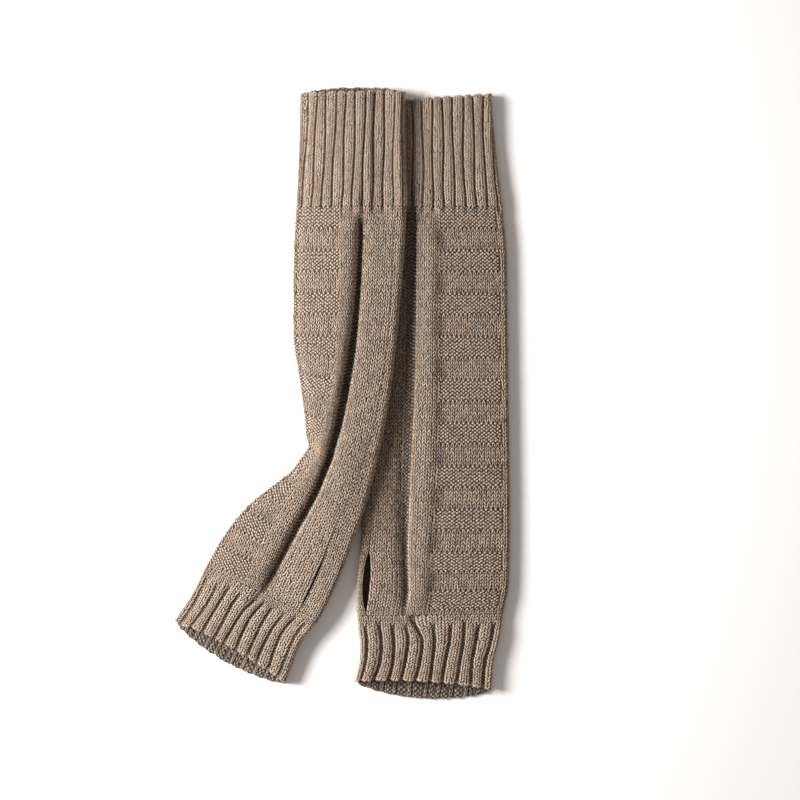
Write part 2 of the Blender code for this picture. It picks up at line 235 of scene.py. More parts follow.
RIGHT_STATIONS = tuple(Station(*row) for row in (
    (0.0, 65.8, 200.7, 72.1, -3.5), (27.6, 66.4, 173.1, 74.7, -1.1),
    (54.6, 67.1, 146.1, 78.8, -0.5), (73.5, 67.8, 127.2, 82.9, 0.0), (102.3, 68.3, 98.5, 88.0, 0.0),
    (150.2, 67.0, 50.5, 92.1, 0.0), (198.2, 65.9, 2.6, 95.6, 0.0), (246.2, 64.9, -45.4, 99.0, 0.0),
    (287.3, 64.0, -86.5, 101.4, 0.0), (314.7, 62.8, -113.9, 103.1, 0.0),
    (336.0, 61.5, -135.1, 103.8, -0.8), (351.8, 59.9, -150.9, 100.0, -0.8),
    (369.6, 59.4, -168.7, 94.2, 0.0), (383.5, 57.5, -182.4, 91.1, 0.0),
    (400.1, 55.1, -198.8, 92.6, 3.4)
))
LEFT_FOLDS = tuple(Folds(*row) for row in (
    (76.0, 30.5, 45.5, 1.2, 8.0), (104.8, 32.2, 46.4, 1.3, 8.2), (139.5, 32.5, 44.8, 1.7, 8.4),
    (168.6, 30.0, 41.5, 2.3, 8.4), (192.9, 25.5, 34.8, 2.5, 8.4), (223.8, 14.5, 25.4, 2.5, 9.4),
    (239.9, 10.0, 20.8, 2.4, 10.1), (251.6, 8.0, 17.8, 2.3, 10.6), (262.3, 8.2, 19.6, 2.2, 10.8),
    (273.0, 9.0, 22.4, 2.1, 10.8), (284.6, 11.0, 27.4, 2.0, 10.5), (310.9, 20.8, 38.5, 1.8, 9.6),
    (333.1, 27.7, 42.9, 1.5, 8.8), (354.1, 29.0, 43.5, 1.3, 8.2)
))
RIGHT_FOLDS = tuple(Folds(*row) for row in (
    (73.5, 43.0, 62.3, 3.2, 6.4), (102.3, 45.5, 65.4, 3.2, 5.9), (150.2, 46.8, 66.4, 3.2, 5.9),
    (198.2, 47.3, 67.8, 3.0, 5.9), (246.2, 48.8, 70.2, 2.4, 6.3), (287.3, 51.4, 71.6, 1.8, 7.6),
    (314.7, 53.4, 71.4, 1.5, 8.4), (351.8, 52.5, 68.5, 1.5, 8.4)
))
LEFT_PANEL = (Front(0.1, 9.2), Front(0.22, 9.2), Front(0.4, 9.3), Front(0.65, 9.6), Front(0.97, 10.1))
RIGHT_PANEL = (Front(0.1, 8.4), Front(0.22, 8.7), Front(0.4, 8.9), Front(0.7, 9.0), Front(0.97, 9.4))
LEFT_ROLL = (Front(0.1, 10.4, 2.1), Front(0.24, 10.9, 2.6), Front(0.45, 10.8, 2.1),
             Front(0.7, 9.9, 3.0), Front(0.9, 8.0, 2.8))
RIGHT_ROLL = (Front(0.07, 9.9, 2.1), Front(0.2, 10.7, 2.4), Front(0.45, 11.3, 2.1),
              Front(0.7, 10.6, 3.0), Front(0.93, 8.4, 3.2))
CREASE_FRONT = Front(0.5, 4.1, 2.0)     # its share is of the crease's width, and is flat
BAND_FRONT = (Front(0.05, -2.4, 2.2), Front(0.18, -1.2), Front(0.36, -0.1), Front(0.55, 0.2))
BAND_FALL = (0.76, 0.87, 0.95)          # shares of the band where it falls to the thumb's fold
FALL_POWER = 1.5                        # of that fall: higher is rounder


def smooth(value: Array | float) -> Array:
    """Ease from 0 to 1.

    Args:
        value: what is eased; under 0 it counts as 0 and over 1 as 1.

    Returns:
        The eased value.
    """
    value = np.clip(value, 0.0, 1.0)
    return value * value * (3.0 - 2.0 * value)


def cubic(start: Array, end: Array, leave: Array, arrive: Array, share: Array) -> Array:
    """Points of stretches of a smooth curve.

    Args:
        start: values at the stretches' starts.
        end: values at their ends.
        leave: slopes at their starts, as rises over a whole stretch.
        arrive: slopes at their ends.
        share: shares of the way from start to end.

    Returns:
        The values there.
    """
    square, cube = share ** 2, share ** 3
    return (start * (2 * cube - 3 * square + 1) + end * (3 * square - 2 * cube)
            + leave * (cube - 2 * square + share) + arrive * (cube - square))


class Line:
    """A smooth curve through one column of a table, read at any distance down."""

    def __init__(self, downs: Sequence[float], values: Sequence[float]) -> None:
        """Keep the points and work out the slopes there.

        Args:
            downs: distances down, growing.
            values: the column's values there.
        """
        self.downs = np.array(downs, float)
        self.values = np.array(values, float)
        numbers = np.arange(len(downs))
        before = np.maximum(numbers - 1, 0)
        after = np.minimum(numbers + 1, len(downs) - 1)
        rises = self.values[after] - self.values[before]
        self.slopes = rises / (self.downs[after] - self.downs[before])

    def at(self, down: Array | float) -> Array:
        """Read the curve.

        Args:
            down: distances down; beyond the table the curve runs on straight.

        Returns:
            The values there.
        """
        down = np.asarray(down, float)
        index = np.searchsorted(self.downs[1:-1], down, side="left")
        start, end = self.values[index], self.values[index + 1]
        length = self.downs[index + 1] - self.downs[index]
        share = (down - self.downs[index]) / length
        leave, arrive = self.slopes[index] * length, self.slopes[index + 1] * length
        curve = cubic(start, end, leave, arrive, share)
        straight = start + (end - start) * share
        return np.where((share <= 0.0) | (share >= 1.0), straight, curve)


def gentle_curve(across: Array, height: Array, steps: int) -> tuple[Array, Array]:
    """Rounded lines through rows of points, which never pass beyond them.

    Args:
        across: places across, growing along each row.
        height: heights there.
        steps: number of short stretches between two points.

    Returns:
        The places across and the heights of the rounded lines.
    """
    gap = np.diff(across, axis=1)
    rise = np.diff(height, axis=1) / gap
    before, after = rise[:, :-1], rise[:, 1:]
    both = before + after
    turning = before * after <= 0.0
    slope = np.zeros_like(height)
    slope[:, 1:-1] = np.where(turning, 0.0, 2.0 * before * after / np.where(turning, 1.0, both))
    share = np.arange(steps) / steps
    rows = cubic(height[:, :-1, None], height[:, 1:, None], (slope[:, :-1] * gap)[..., None],
                 (slope[:, 1:] * gap)[..., None], share)
    places = across[:, :-1, None] + gap[..., None] * share
    count = len(across)
    return (np.column_stack([places.reshape(count, -1), across[:, -1]]),
            np.column_stack([rows.reshape(count, -1), height[:, -1]]))


@dataclass
class Rings:
    """Sections round a sleeve, a row for each distance down and a column for each point.

    The columns run up the panel fold, over the front, down the thumb fold and back underneath.

    Attributes:
        down: distances down.
        across: places across of the outer face.
        height: heights of the outer face.
        inner_across: places across of the inner face.
        inner_height: heights of the inner face.
        marks: numbers of named points.
    """

    down: Array
    across: Array
    height: Array
    inner_across: Array
    inner_height: Array
    marks: dict[str, int]

    def __post_init__(self) -> None:
        """Measure along each ring."""
        places = (self.across, self.height)
        steps = np.hypot(*(np.roll(values, -1, axis=1) - values for values in places))
        self.arc = np.column_stack([np.zeros(len(steps)), np.cumsum(steps, axis=1)[:, :-1]])
        self.length = steps.sum(axis=1)
        under = self.marks["under"]
        self.meeting = (self.arc[:, under] + self.length) / 2.0

    def arc_at(self, across: Array) -> Array:
        """Distance round each ring to a place across its front."""
        first, last = self.marks["front"], self.marks["front_end"]
        return np.array([np.interp(place, row[first:last + 1], arc[first:last + 1])
                         for place, row, arc in zip(across, self.across, self.arc)])

    def unwrapped(self) -> Array:
        """Distances round the rings, with what lies before the meeting line counted back from 0."""
        beyond = self.arc > self.meeting[:, None]
        return np.where(beyond, self.arc - self.length[:, None], self.arc)


@dataclass
class Sleeve:
    """The form of one warmer, from its arm mouth to its hand mouth.

    Attributes:
        name: the start of its pieces' names.
        side: 1 where places across run towards +X, else -1.
        stations: its middle line, width and lean.
        folds: what lies across its body.
        seam: distance down to the arm cuff's seam.
        slit: distance from the thumb edge to the slit's middle.
        gape: the slit's greatest width.
        mouths: the curves of its mouths.
        panel: points of the panel, in section.
        roll: points of the roll.
        shoulder: distance over which it rounds down to the panel's edge.
        thumb_reach: reach of the fold beside the thumb slit.
        panel_painted_light: how much lighter the panel's yarn is painted, as painted light; below 0
            it is painted shade.
        fold_steps: points round a fold.
        front_steps: points between two of those given over the front.
        under_steps: points underneath.
        on_top_of: the warmer that it lies on.
        lines: smooth lines through the columns of the tables.
    """

    name: str
    side: int
    stations: tuple[Station, ...]
    folds: tuple[Folds, ...]
    seam: float
    slit: float
    gape: float
    mouths: Mouths
    panel: tuple[Front, ...]
    roll: tuple[Front, ...]
    shoulder: float
    thumb_reach: float
    panel_painted_light: float
    fold_steps: int = 8
    front_steps: int = 3
    under_steps: int = 24
    on_top_of: "Sleeve | None" = None
    lines: dict[str, Line] = field(default_factory=dict)

    def __post_init__(self) -> None:
        """Make a smooth line of each column of the tables."""
        for rows in (self.stations, self.folds):
            downs = [row.down for row in rows]
            for column in vars(rows[0]):
                self.lines[column] = Line(downs, [getattr(row, column) for row in rows])

    def read(self, column: str, down: Array | float) -> Array:
        """Value of a column of the tables at distances down."""
        return self.lines[column].at(down)

    @property
    def length(self) -> float:
        """Distance from mouth to mouth."""
        return self.stations[-1].down

    def lift(self, x: Array, y: Array, run: float) -> Array:
        """Height by which the warmer below carries this one.

        Args:
            x: places in the plane of the tables.
            y: places in the plane of the tables.
            run: length over which this warmer climbs.

        Returns:
            The heights there, 0 for a warmer that lies on none.
        """
        below = self.on_top_of
        if below is None:
            return np.zeros_like(x)
        down = below.stations[0].y - y
        edge = below.read("x", down) - below.read("width", down) / 2
        return LIFT * smooth((x - edge + run) / (run - LIFT_INSET))

    def place(self, down: Array, across: Array, height: Array, out: Array | float = 0.0) -> Array:
        """World points of points of the sections.

        Args:
            down: distances down the sleeve.
            across: places across, from the panel's edge.
            height: heights over the surface, without what the warmer below adds.
            out: how far the points are pushed out along the sleeve.

        Returns:
            Points in metres, in a last axis of three.
        """
        lean = np.radians(self.read("lean", down))
        reach = (across - self.read("width", down) / 2) * self.side
        x = self.read("x", down) + reach * np.cos(lean) - out * np.sin(lean)
        y = self.read("y", down) - reach * np.sin(lean) - out * np.cos(lean)
        front = smooth((height - WALL) / (THUMB_HEIGHTS[0] - 2 * WALL))
        lift = self.lift(x, y, BACK_RUN) * (1.0 - front) + self.lift(x, y, FRONT_RUN) * front
        return np.stack([x - CENTRE[0], y - CENTRE[1], height + lift], axis=-1) * MM

    def out(self, down: Array, across: Array, height: Array) -> Array:
        """How far points near a mouth stand out from a straight cut.

        Args:
            down: distances down the sleeve.
            across: places across.
            height: heights, which tell the front from the back.

        Returns:
            Distances towards the hand, below 0 towards the arm.
        """
        bulge = np.sin(np.pi * np.clip(across / self.read("width", down), 0.0, 1.0)) ** MOUTH_ROUND
        front = smooth(height / CUFF_HEIGHT)
        at_arm = 1.0 - smooth(down / MOUTH_FADE)
        at_hand = 1.0 - smooth((self.length - down) / MOUTH_FADE)
        arm = self.mouths.arm_back * (1.0 - front) + self.mouths.arm_front * front
        hand = self.mouths.hand_back * (1.0 - front) + self.mouths.hand_front * front
        return bulge * (at_hand * hand - at_arm * arm)

    def apart(self, down: Array) -> Array:
        """0 where one warmer lies on the other, 1 where they have parted."""
        return smooth((down - APART[0]) / (APART[1] - APART[0]))

    def rounding(self, across: Array) -> Array:
        """Share of the full height near the panel's edge, which is rounded like a shoulder."""
        return np.sqrt(1.0 - (1.0 - np.clip(across / self.shoulder, 0.0, 1.0)) ** 2)

    def panel_height(self) -> float:
        """Height of the fold beside the welt panel."""
        return float(CUFF_HEIGHT * self.rounding(PANEL_REACH))

    def cuff_height(self, down: Array, from_thumb: Array) -> Array:
        """Height of a cuff's front, without its ribs, at a distance from the thumb edge."""
        low, full = PRESSED_REACH
        share = np.maximum(smooth((from_thumb - low) / (full - low)), self.apart(down))
        across = self.read("width", down) - from_thumb
        return (PRESSED_HEIGHT + (CUFF_HEIGHT - PRESSED_HEIGHT) * share) * self.rounding(across)

    def thumb_height(self, down: Array) -> Array:
        """Height of the fold beside the thumb slit."""
        return THUMB_HEIGHTS[0] + (THUMB_HEIGHTS[1] - THUMB_HEIGHTS[0]) * self.apart(down)

    def slit_ends(self) -> tuple[float, float]:
        """Distances down to the two ends of the thumb slit."""
        return (self.seam + welt_start(WELTS - LOW_WELTS) + WELT_SLOPE,
                self.seam + welt_start(WELTS) - WELT_SLOPE)

    def half_slit(self, down: Array) -> Array:
        """Half the width of the gaping slit."""
        start, end = self.slit_ends()
        share = np.clip((down - start) / (end - start), 0.0, 1.0)
        return (SLIT_END + (self.gape - SLIT_END) * np.sin(np.pi * share) ** SLIT_ROUND) / 2.0

    def body_front(self, down: Array) -> tuple[Array, Array, Array, dict[str, int]]:
        """Points over the front of the body.

        Args:
            down: distances down.

        Returns:
            Places across, heights, heights of the inner face, and the numbers of named points.
        """
        width, panel = self.read("width", down), self.read("panel", down)
        crease, valley = self.read("crease", down), self.read("valley", down)
        puff = self.read("puff", down)
        half_slit = self.half_slit(down)
        lip = width - self.slit - half_slit
        far_lip = width - self.slit + half_slit
        thumb = self.thumb_height(down)
        grown = smooth((down - self.seam) / ROLL_STARTS[0])
        grown *= RUN_ON + (1.0 - RUN_ON) * smooth((self.seam + BODY_LENGTH - down) / ROLL_STARTS[1])
        drop = LIP_DROP * smooth((down - self.slit_ends()[0] + LIP_RUN) / LIP_RUN)
        crest_height = puff + PUFF_CREST
        zones = ((self.panel, PANEL_REACH + 0.0 * panel, panel, 0.0),
                 (self.roll, panel, crease - valley, 0.0),
                 (BAND_FRONT, crease + valley, lip - SLIT_MARGIN, puff))
        front: list[tuple[Array, Array, float]] = []
        for rows, start, end, over in zones:
            front += [(start + (end - start) * row.share, row.height + over, row.depth)
                      for row in rows]
            if rows is self.roll:
                front += [(crease + side * valley * CREASE_FRONT.share, CREASE_FRONT.height,
                           CREASE_FRONT.depth) for side in (-1, 1)]
        crest, thumb_side = front[-1][0], width - self.thumb_reach
        band = zones[-1][1:3]
        falls = [(band[0] + (band[1] - band[0]) * share, 0.0) for share in BAND_FALL]
        for place, dip in (*falls, (lip, drop), (far_lip, drop / 2)):
            share = np.clip((place - crest) / (thumb_side - crest), 0.0, 1.0)
            fall = (crest_height - thumb) * share ** FALL_POWER
            front.append((place, crest_height - fall - dip, WALL))
        across = [PANEL_REACH + 0.0 * width]
        height = [self.panel_height() + 0.0 * width]
        inner = [self.panel_height() - WALL + 0.0 * width]
        for place, level, depth in front:
            level = level * self.rounding(place)
            base = self.cuff_height(down, width - place) * (1.0 - grown) + level * grown
            across.append(place)
            height.append(base)
            inner.append(base - WALL * (1.0 - grown) - depth * grown)
        across.append(thumb_side)
        height.append(thumb)
        inner.append(thumb - WALL)
        numbers = {"lip": len(across) - 3, "far_lip": len(across) - 2}
        return np.stack(across, 1), np.stack(height, 1), np.stack(inner, 1), numbers

    def cuff_front(self, down: Array, ribs: int) -> tuple[Array, Array, Array, dict[str, int]]:
        """Points over the front of a cuff, one between each two ribs.

        Args:
            down: distances down.
            ribs: number of ribs.

        Returns:
            Places across, heights, heights of the inner face, and no named points.
        """
        width = self.read("width", down)[:, None]
        start, end = PANEL_REACH, width - self.thumb_reach
        across = start + (end - start) * np.linspace(0.0, 1.0, ribs + 1)
        height = self.cuff_height(down[:, None], width - across)
        height[:, 0] = self.panel_height()
        height[:, -1] = self.thumb_height(down)
        return across, height, height - WALL, {}

    def rings(self, down: Array, ribs: int | None = None, steps: int | None = None) -> Rings:
        """Sections round the sleeve.

        Args:
            down: distances down.
            ribs: number of ribs of a cuff, or None for the body.
            steps: number of stretches between two points of the front.

        Returns:
            The rings.
        """
        if ribs is None:
            front = self.body_front(down)
        else:
            front = self.cuff_front(down, ribs)
        steps = steps or self.front_steps
        across, height = gentle_curve(front[0], front[1], steps)
        inner_height = gentle_curve(front[0], front[2], steps)[1]
        rows = np.ones(len(down))[:, None]
        width = self.read("width", down)[:, None]
        thumb = self.thumb_height(down)[:, None] / 2
        up = np.linspace(-math.pi / 2, math.pi / 2, self.fold_steps + 1)[None, :-1]
        fall = np.linspace(math.pi / 2, -math.pi / 2, self.fold_steps + 1)[None, 1:]
        back = np.linspace(0.0, 1.0, self.under_steps + 1)[None, 1:-1]
        reach, tall, far = PANEL_REACH, self.panel_height() / 2, self.thumb_reach
        under = width - far + (reach - width + far) * back
        outside = (
            np.hstack([rows * (reach - reach * np.cos(up)), across,
                       width - far + far * np.cos(fall), under]),
            np.hstack([rows * tall * (1 + np.sin(up)), height,
                       thumb * (1 + np.sin(fall)), 0.0 * under]))
        inside = (
            np.hstack([rows * (reach - (reach - WALL) * np.cos(up)), across,
                       width - far + (far - WALL) * np.cos(fall), under]),
            np.hstack([rows * (tall + (tall - WALL) * np.sin(up)), inner_height,
                       thumb + (thumb - WALL) * np.sin(fall), 0.0 * under + WALL]))
        marks = {"front": self.fold_steps, "front_end": self.fold_steps + across.shape[1] - 1}
        marks["under"] = marks["front_end"] + self.fold_steps
        marks |= {name: self.fold_steps + number * steps for name, number in front[3].items()}
        return Rings(down, *outside, *inside, marks)


def welt_start(index: float) -> float:
    """Distance from the arm cuff's seam to a welt, which may be a part of one on."""
    full = min(index, WELTS - LOW_WELTS)
    return full * WELT + (index - full) * LOW_WELT


def normals_of(points: Array, side: int, closed: bool) -> Array:
    """Directions straight out of a sheet of points.

    Args:
        points: world points, in rows down and columns across.
        side: 1 where the columns run towards +X, else -1.
        closed: whether the last column is beside the first.

    Returns:
        Unit vectors of the same shape.
    """
    if closed:
        along = np.roll(points, -1, axis=1) - np.roll(points, 1, axis=1)
    else:
        along = np.gradient(points, axis=1)
    down = np.gradient(points, axis=0)
    normal = np.cross(along, down) * -side
    return normal / np.maximum(np.linalg.norm(normal, axis=-1, keepdims=True), LEAST)


def grid_over(low: float, high: float, step: float) -> Array:
    """Even steps over a stretch and one unit beyond each of its ends."""
    return np.arange(low - 1.0, high + 1.0 + step / 2, step)


def wall(line: Array, beyond: Array, flip: bool) -> Array:
    """Faces between two rows of points.

    Args:
        line: numbers of the points of one row.
        beyond: numbers of those next to them.
        flip: whether the faces turn the other way.

    Returns:
        A quad for each stretch of the rows.
    """
    square = np.stack([line[:-1], line[1:], beyond[1:], beyond[:-1]], -1)
    return square[:, ::-1] if flip else square


class Cloth(Enum):
    """The kinds of knit, each with its own wool."""

    PLAIN = "plain_knit"
    FINE_RIB = "fine_rib_knit"
    COARSE_RIB = "coarse_rib_knit"


def wire(material: bpy.types.Material, node: bpy.types.Node,
         inputs: dict[str | int, object]) -> bpy.types.Node:
    """Set or link the inputs of a node.

    Args:
        material: the material that it is in.
        node: the node.
        inputs: by name or number, a value, or another node's output.

    Returns:
        The node.
    """
    for name, value in inputs.items():
        if isinstance(value, bpy.types.NodeSocket):
            material.node_tree.links.new(value, node.inputs[name])
        else:
            node.inputs[name].default_value = value
    return node


def new_material(name: str, finish: dict[str | int, object]) -> bpy.types.Material:
    """Make a material whose one shader has the given inputs."""
    material = bpy.data.materials.new(name)
    material.use_nodes = True
    wire(material, material.node_tree.nodes["Principled BSDF"], finish)
    return material


@dataclass(frozen=True)
class Wool:
    """Heathered wool: a mix of light and dark fibres, matt, with a soft nap.

    Attributes:
        name: the material's name.
        light: colour of its lightest fibres.
        dark: colour of its darkest fibres.
        fleck: how much the flecks differ.
        fleck_scale: how fine they are.
        fleck_detail: how many finer layers they have.
        fleck_roughness: how strong those are.
        fibre_scale: how fine the fibres' relief is.
        fibre_detail: how many finer layers it has.
        fibre_height: its height in metres.
        bump: its strength.
        roughness: of the surface.
        sheen: strength of the nap's sheen.
        sheen_roughness: how wide the sheen spreads.
        sheen_tint: its colour.
        shine: strength of its highlights.
    """

    name: str
    light: tuple[float, float, float]
    dark: tuple[float, float, float] = (0.030, 0.0155, 0.0075)
    fleck: float = 0.3
    fleck_scale: float = 900.0
    fleck_detail: float = 3.0
    fleck_roughness: float = 0.7
    fibre_scale: float = 3500.0
    fibre_detail: float = 2.0
    fibre_height: float = 0.0002
    bump: float = 0.3
    roughness: float = 0.95
    sheen: float = 0.4
    sheen_roughness: float = 0.6
    sheen_tint: tuple[float, float, float] = (1.0, 0.94, 0.86)
    shine: float = 0.1

    def material(self) -> bpy.types.Material:
        """Make the wool's material.

        Returns:
            A material that reads each strand's tone, and adds fibres and flecks in object space.
        """
        material = new_material(self.name, {
            "Roughness": self.roughness, "Sheen Weight": self.sheen,
            "Sheen Roughness": self.sheen_roughness, "Sheen Tint": (*self.sheen_tint, 1.0),
            "Specular IOR Level": self.shine})
        nodes = material.node_tree.nodes

        def add(kind: str, inputs: dict[str | int, object], **settings: object) -> bpy.types.Node:
            node = nodes.new(f"ShaderNode{kind}")
            for setting, value in settings.items():
                setattr(node, setting, value)
            return wire(material, node, inputs)
        place = nodes.new("ShaderNodeTexCoord").outputs["Object"]
        tone = add("Attribute", {}, attribute_name="tone")
        fleck = add("TexNoise", {"Scale": self.fleck_scale, "Detail": self.fleck_detail,
                                 "Roughness": self.fleck_roughness, "Vector": place})
        centred = add("Math", {0: fleck.outputs["Fac"], 1: 0.5}, operation="SUBTRACT")
        mixed = add("Math", {0: centred.outputs[0], 1: self.fleck * 2.0, 2: tone.outputs["Fac"]},
                    operation="MULTIPLY_ADD", use_clamp=True)
        colour = add("Mix", {"Factor": mixed.outputs[0], "A": (*self.dark, 1.0),
                             "B": (*self.light, 1.0)}, data_type="RGBA")
        fibre = add("TexNoise", {"Scale": self.fibre_scale, "Detail": self.fibre_detail,
                                 "Vector": place})
        bump = add("Bump", {"Strength": self.bump, "Distance": self.fibre_height,
                            "Height": fibre.outputs["Fac"]})
        wire(material, nodes["Principled BSDF"],
             {"Base Color": colour.outputs["Result"], "Normal": bump.outputs["Normal"]})
        return material


CUTS = {Cloth.FINE_RIB: 155.0, Cloth.PLAIN: 160.0, Cloth.COARSE_RIB: 185.0}
WOOLS = {
    Cloth.PLAIN: Wool("taupe_wool_plain", (0.414, 0.317, 0.241)),
    Cloth.FINE_RIB: Wool("taupe_wool_fine_rib", (0.436, 0.332, 0.250)),
    Cloth.COARSE_RIB: Wool("taupe_wool_coarse_rib", (0.414, 0.317, 0.241)),
}


def make_piece(name: str, points: Array, triangles: Array, material: bpy.types.Material,
               tone: Array, flat: Array) -> bpy.types.Object:
    """Make a mesh object of arrays.

    Args:
        name: the piece's name.
        points: its points in metres.
        triangles: numbers of the points of each face, facing out.
        material: its finish.
        tone: how light the wool is at each point, from 0 to 1.
        flat: each point's place in the unrolled cloth, from 0 to 1 both ways.

    Returns:
        The object, shaded smooth, which rides on the frame.
    """
    mesh = bpy.data.meshes.new(name)
    mesh.vertices.add(len(points))
    mesh.vertices.foreach_set("co", points.astype(np.float32).ravel())
    mesh.loops.add(triangles.size)
    mesh.loops.foreach_set("vertex_index", triangles.astype(np.int32).ravel())
    mesh.polygons.add(len(triangles))
    mesh.polygons.foreach_set("loop_start", np.arange(0, triangles.size, 3, dtype=np.int32))
    mesh.update(calc_edges=True)
    attribute = mesh.attributes.new("tone", "FLOAT", "POINT")
    attribute.data.foreach_set("value", tone.astype(np.float32))
    unrolled = mesh.uv_layers.new(name="OFBake")
    unrolled.uv.foreach_set("vector", flat[triangles.ravel()].astype(np.float32).ravel())
    mesh.shade_smooth()
    mesh.validate()
    mesh.materials.append(material)
    piece = bpy.data.objects.new(name, mesh)
    bpy.context.scene.collection.objects.link(piece)
    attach(piece, ROOT)
    LOG.info("%s: %d triangles", name, len(triangles))
    return piece


@dataclass
class Ground:
    """A face of cloth in stitch coordinates, which stitches are laid on.

    Attributes:
        wales: coordinate of each column of the grid, evenly spaced.
        courses: coordinate of each row of the grid, evenly spaced.
        points: world points of the grid.
        normals: directions out of the cloth.
        relief: height of the cloth over the points.
        fields: other values on the grid, by name.
        mirrored: whether wales run against the columns of a face that points out.
        split: wale coordinate at which the cloth is cut by a slit.
    """

    wales: Array
    courses: Array
    points: Array
    normals: Array
    relief: Array
    fields: dict[str, Array]
    mirrored: bool
    split: float | None = None

    def sample(self, grid: Array, wale: Array, course: Array) -> Array:
        """Read a grid between its points.

        Args:
            grid: values at the grid's rows and columns, with or without a last axis.
            wale: where along the courses.
            course: where down the wales.

        Returns:
            The values there.
        """
        column = (wale - self.wales[0]) / (self.wales[1] - self.wales[0])
        row = (course - self.courses[0]) / (self.courses[1] - self.courses[0])
        left = np.clip(np.floor(column).astype(int), 0, len(self.wales) - 2)
        top = np.clip(np.floor(row).astype(int), 0, len(self.courses) - 2)
        right_share, low_share = column - left, row - top
        if grid.ndim == 3:
            right_share, low_share = right_share[..., None], low_share[..., None]
        upper = grid[top, left] * (1 - right_share) + grid[top, left + 1] * right_share
        lower = grid[top + 1, left] * (1 - right_share) + grid[top + 1, left + 1] * right_share
        return upper * (1 - low_share) + lower * low_share

    def at(self, wale: Array, course: Array, height: Array) -> Array:
        """World points over the cloth.

        Args:
            wale: where along the courses.
            course: where down the wales.
            height: how far over the cloth, in millimetres.

        Returns:
            Points in metres.
        """
        normal = self.sample(self.normals, wale, course)
        over = (self.sample(self.relief, wale, course) + height) * MM
        return self.sample(self.points, wale, course) + normal * over[..., None]

    def beside_split(self, wale: Array, middle: Array) -> Array:
        """Hold the points of stitches on their own side of the slit.

        Args:
            wale: the points' places along the courses.
            middle: those of their stitches' middles.

        Returns:
            The places, none beyond the slit's edge.
        """
        if self.split is None:
            return wale
        return np.where(middle < self.split, np.minimum(wale, self.split),
                        np.maximum(wale, self.split + SPLIT_WALES))


@dataclass(frozen=True)
class Strand:
    """The part of a stitch's yarn that shows, from one end to the other.

    Attributes:
        start: its first end, in wales across and courses down from the stitch's middle.
        end: its last end.
        bow: how far its middle stands off the straight line, across and down.
        width: half its breadth in millimetres.
        height: how far its top stands over the cloth.
        dip: how far its ends lie under its middle.
    """

    start: tuple[float, float]
    end: tuple[float, float]
    bow: tuple[float, float]
    width: float
    height: float
    dip: float

    def points(self, unit: Array) -> Array:
        """Lay a strand along its line.

        Args:
            unit: points of a strand that runs from -1 to 1 along its third axis.

        Returns:
            For each point its wales across, courses down and height in millimetres.
        """
        start, end, bow = (np.array(value) for value in (self.start, self.end, self.bow))
        along = unit[:, 2:]
        middle = (start + end) / 2 + (end - start) / 2 * along + bow * (1 - along ** 2)
        course = ((end - start) / 2 - 2 * along * bow) * (WALE, COURSE)
        course /= np.linalg.norm(course, axis=1, keepdims=True)
        beside = np.column_stack([-course[:, 1], course[:, 0]]) * self.width / (WALE, COURSE)
        place = middle + beside * unit[:, 1:2]
        height = self.height * unit[:, 0] - self.dip * along[:, 0] ** 2
        return np.column_stack([place, height])


class Stitch(Enum):
    """What shows of a stitch: two legs, two bumps on its wrong side, or one loop at an edge."""

    PLAIN = (Strand((-0.01, 0.56), (-0.49, -0.80), (-0.01, 0.0), 0.52, 0.72, 0.65),
             Strand((0.01, 0.56), (0.49, -0.80), (0.01, 0.0), 0.52, 0.72, 0.65))
    PURL = (Strand((-0.31, -0.22), (0.31, -0.22), (0.0, -0.08), 0.74, 0.95, 0.7),
            Strand((0.19, 0.22), (0.81, 0.22), (0.0, 0.08), 0.74, 0.95, 0.7))
    EDGE = (Strand((-0.55, 0.0), (0.55, 0.0), (0.0, -0.3), 0.75, 1.0, 0.4),)


Stitches = tuple[Stitch, Array, Array]  # a kind, and the wales and courses of the stitches' middles


def unit_strand(sides: int, rings: int) -> tuple[Array, Array]:
    """A strand, pointed at both ends, from a sphere of Blender's own.

    Args:
        sides: number of its sides.
        rings: number of rings of points between the ends.

    Returns:
        Its points, along the third axis from -1 to 1 with one side up the first axis, and its
        triangles.
    """
    bpy.ops.object.select_all(action="DESELECT")
    bpy.ops.mesh.primitive_uv_sphere_add(segments=sides, ring_count=rings + 1, radius=1.0)
    ball = bpy.context.object
    bpy.ops.object.mode_set(mode="EDIT")
    bpy.ops.mesh.select_all(action="SELECT")
    bpy.ops.mesh.quads_convert_to_tris()
    bpy.ops.object.mode_set(mode="OBJECT")
    points = np.array([vertex.co for vertex in ball.data.vertices])
    triangles = np.array([face.vertices for face in ball.data.polygons])
    bpy.data.objects.remove(ball, do_unlink=True)
    high = points[np.argmax(np.hypot(points[:, 0], points[:, 1]))]
    turn = math.atan2(high[1], high[0])
    turned = np.array([[math.cos(turn), -math.sin(turn), 0], [math.sin(turn), math.cos(turn), 0],
                       [0, 0, 1]])
    points = points @ turned
    points[:, :2] /= np.hypot(points[:, 0], points[:, 1]).max()
    return points, triangles


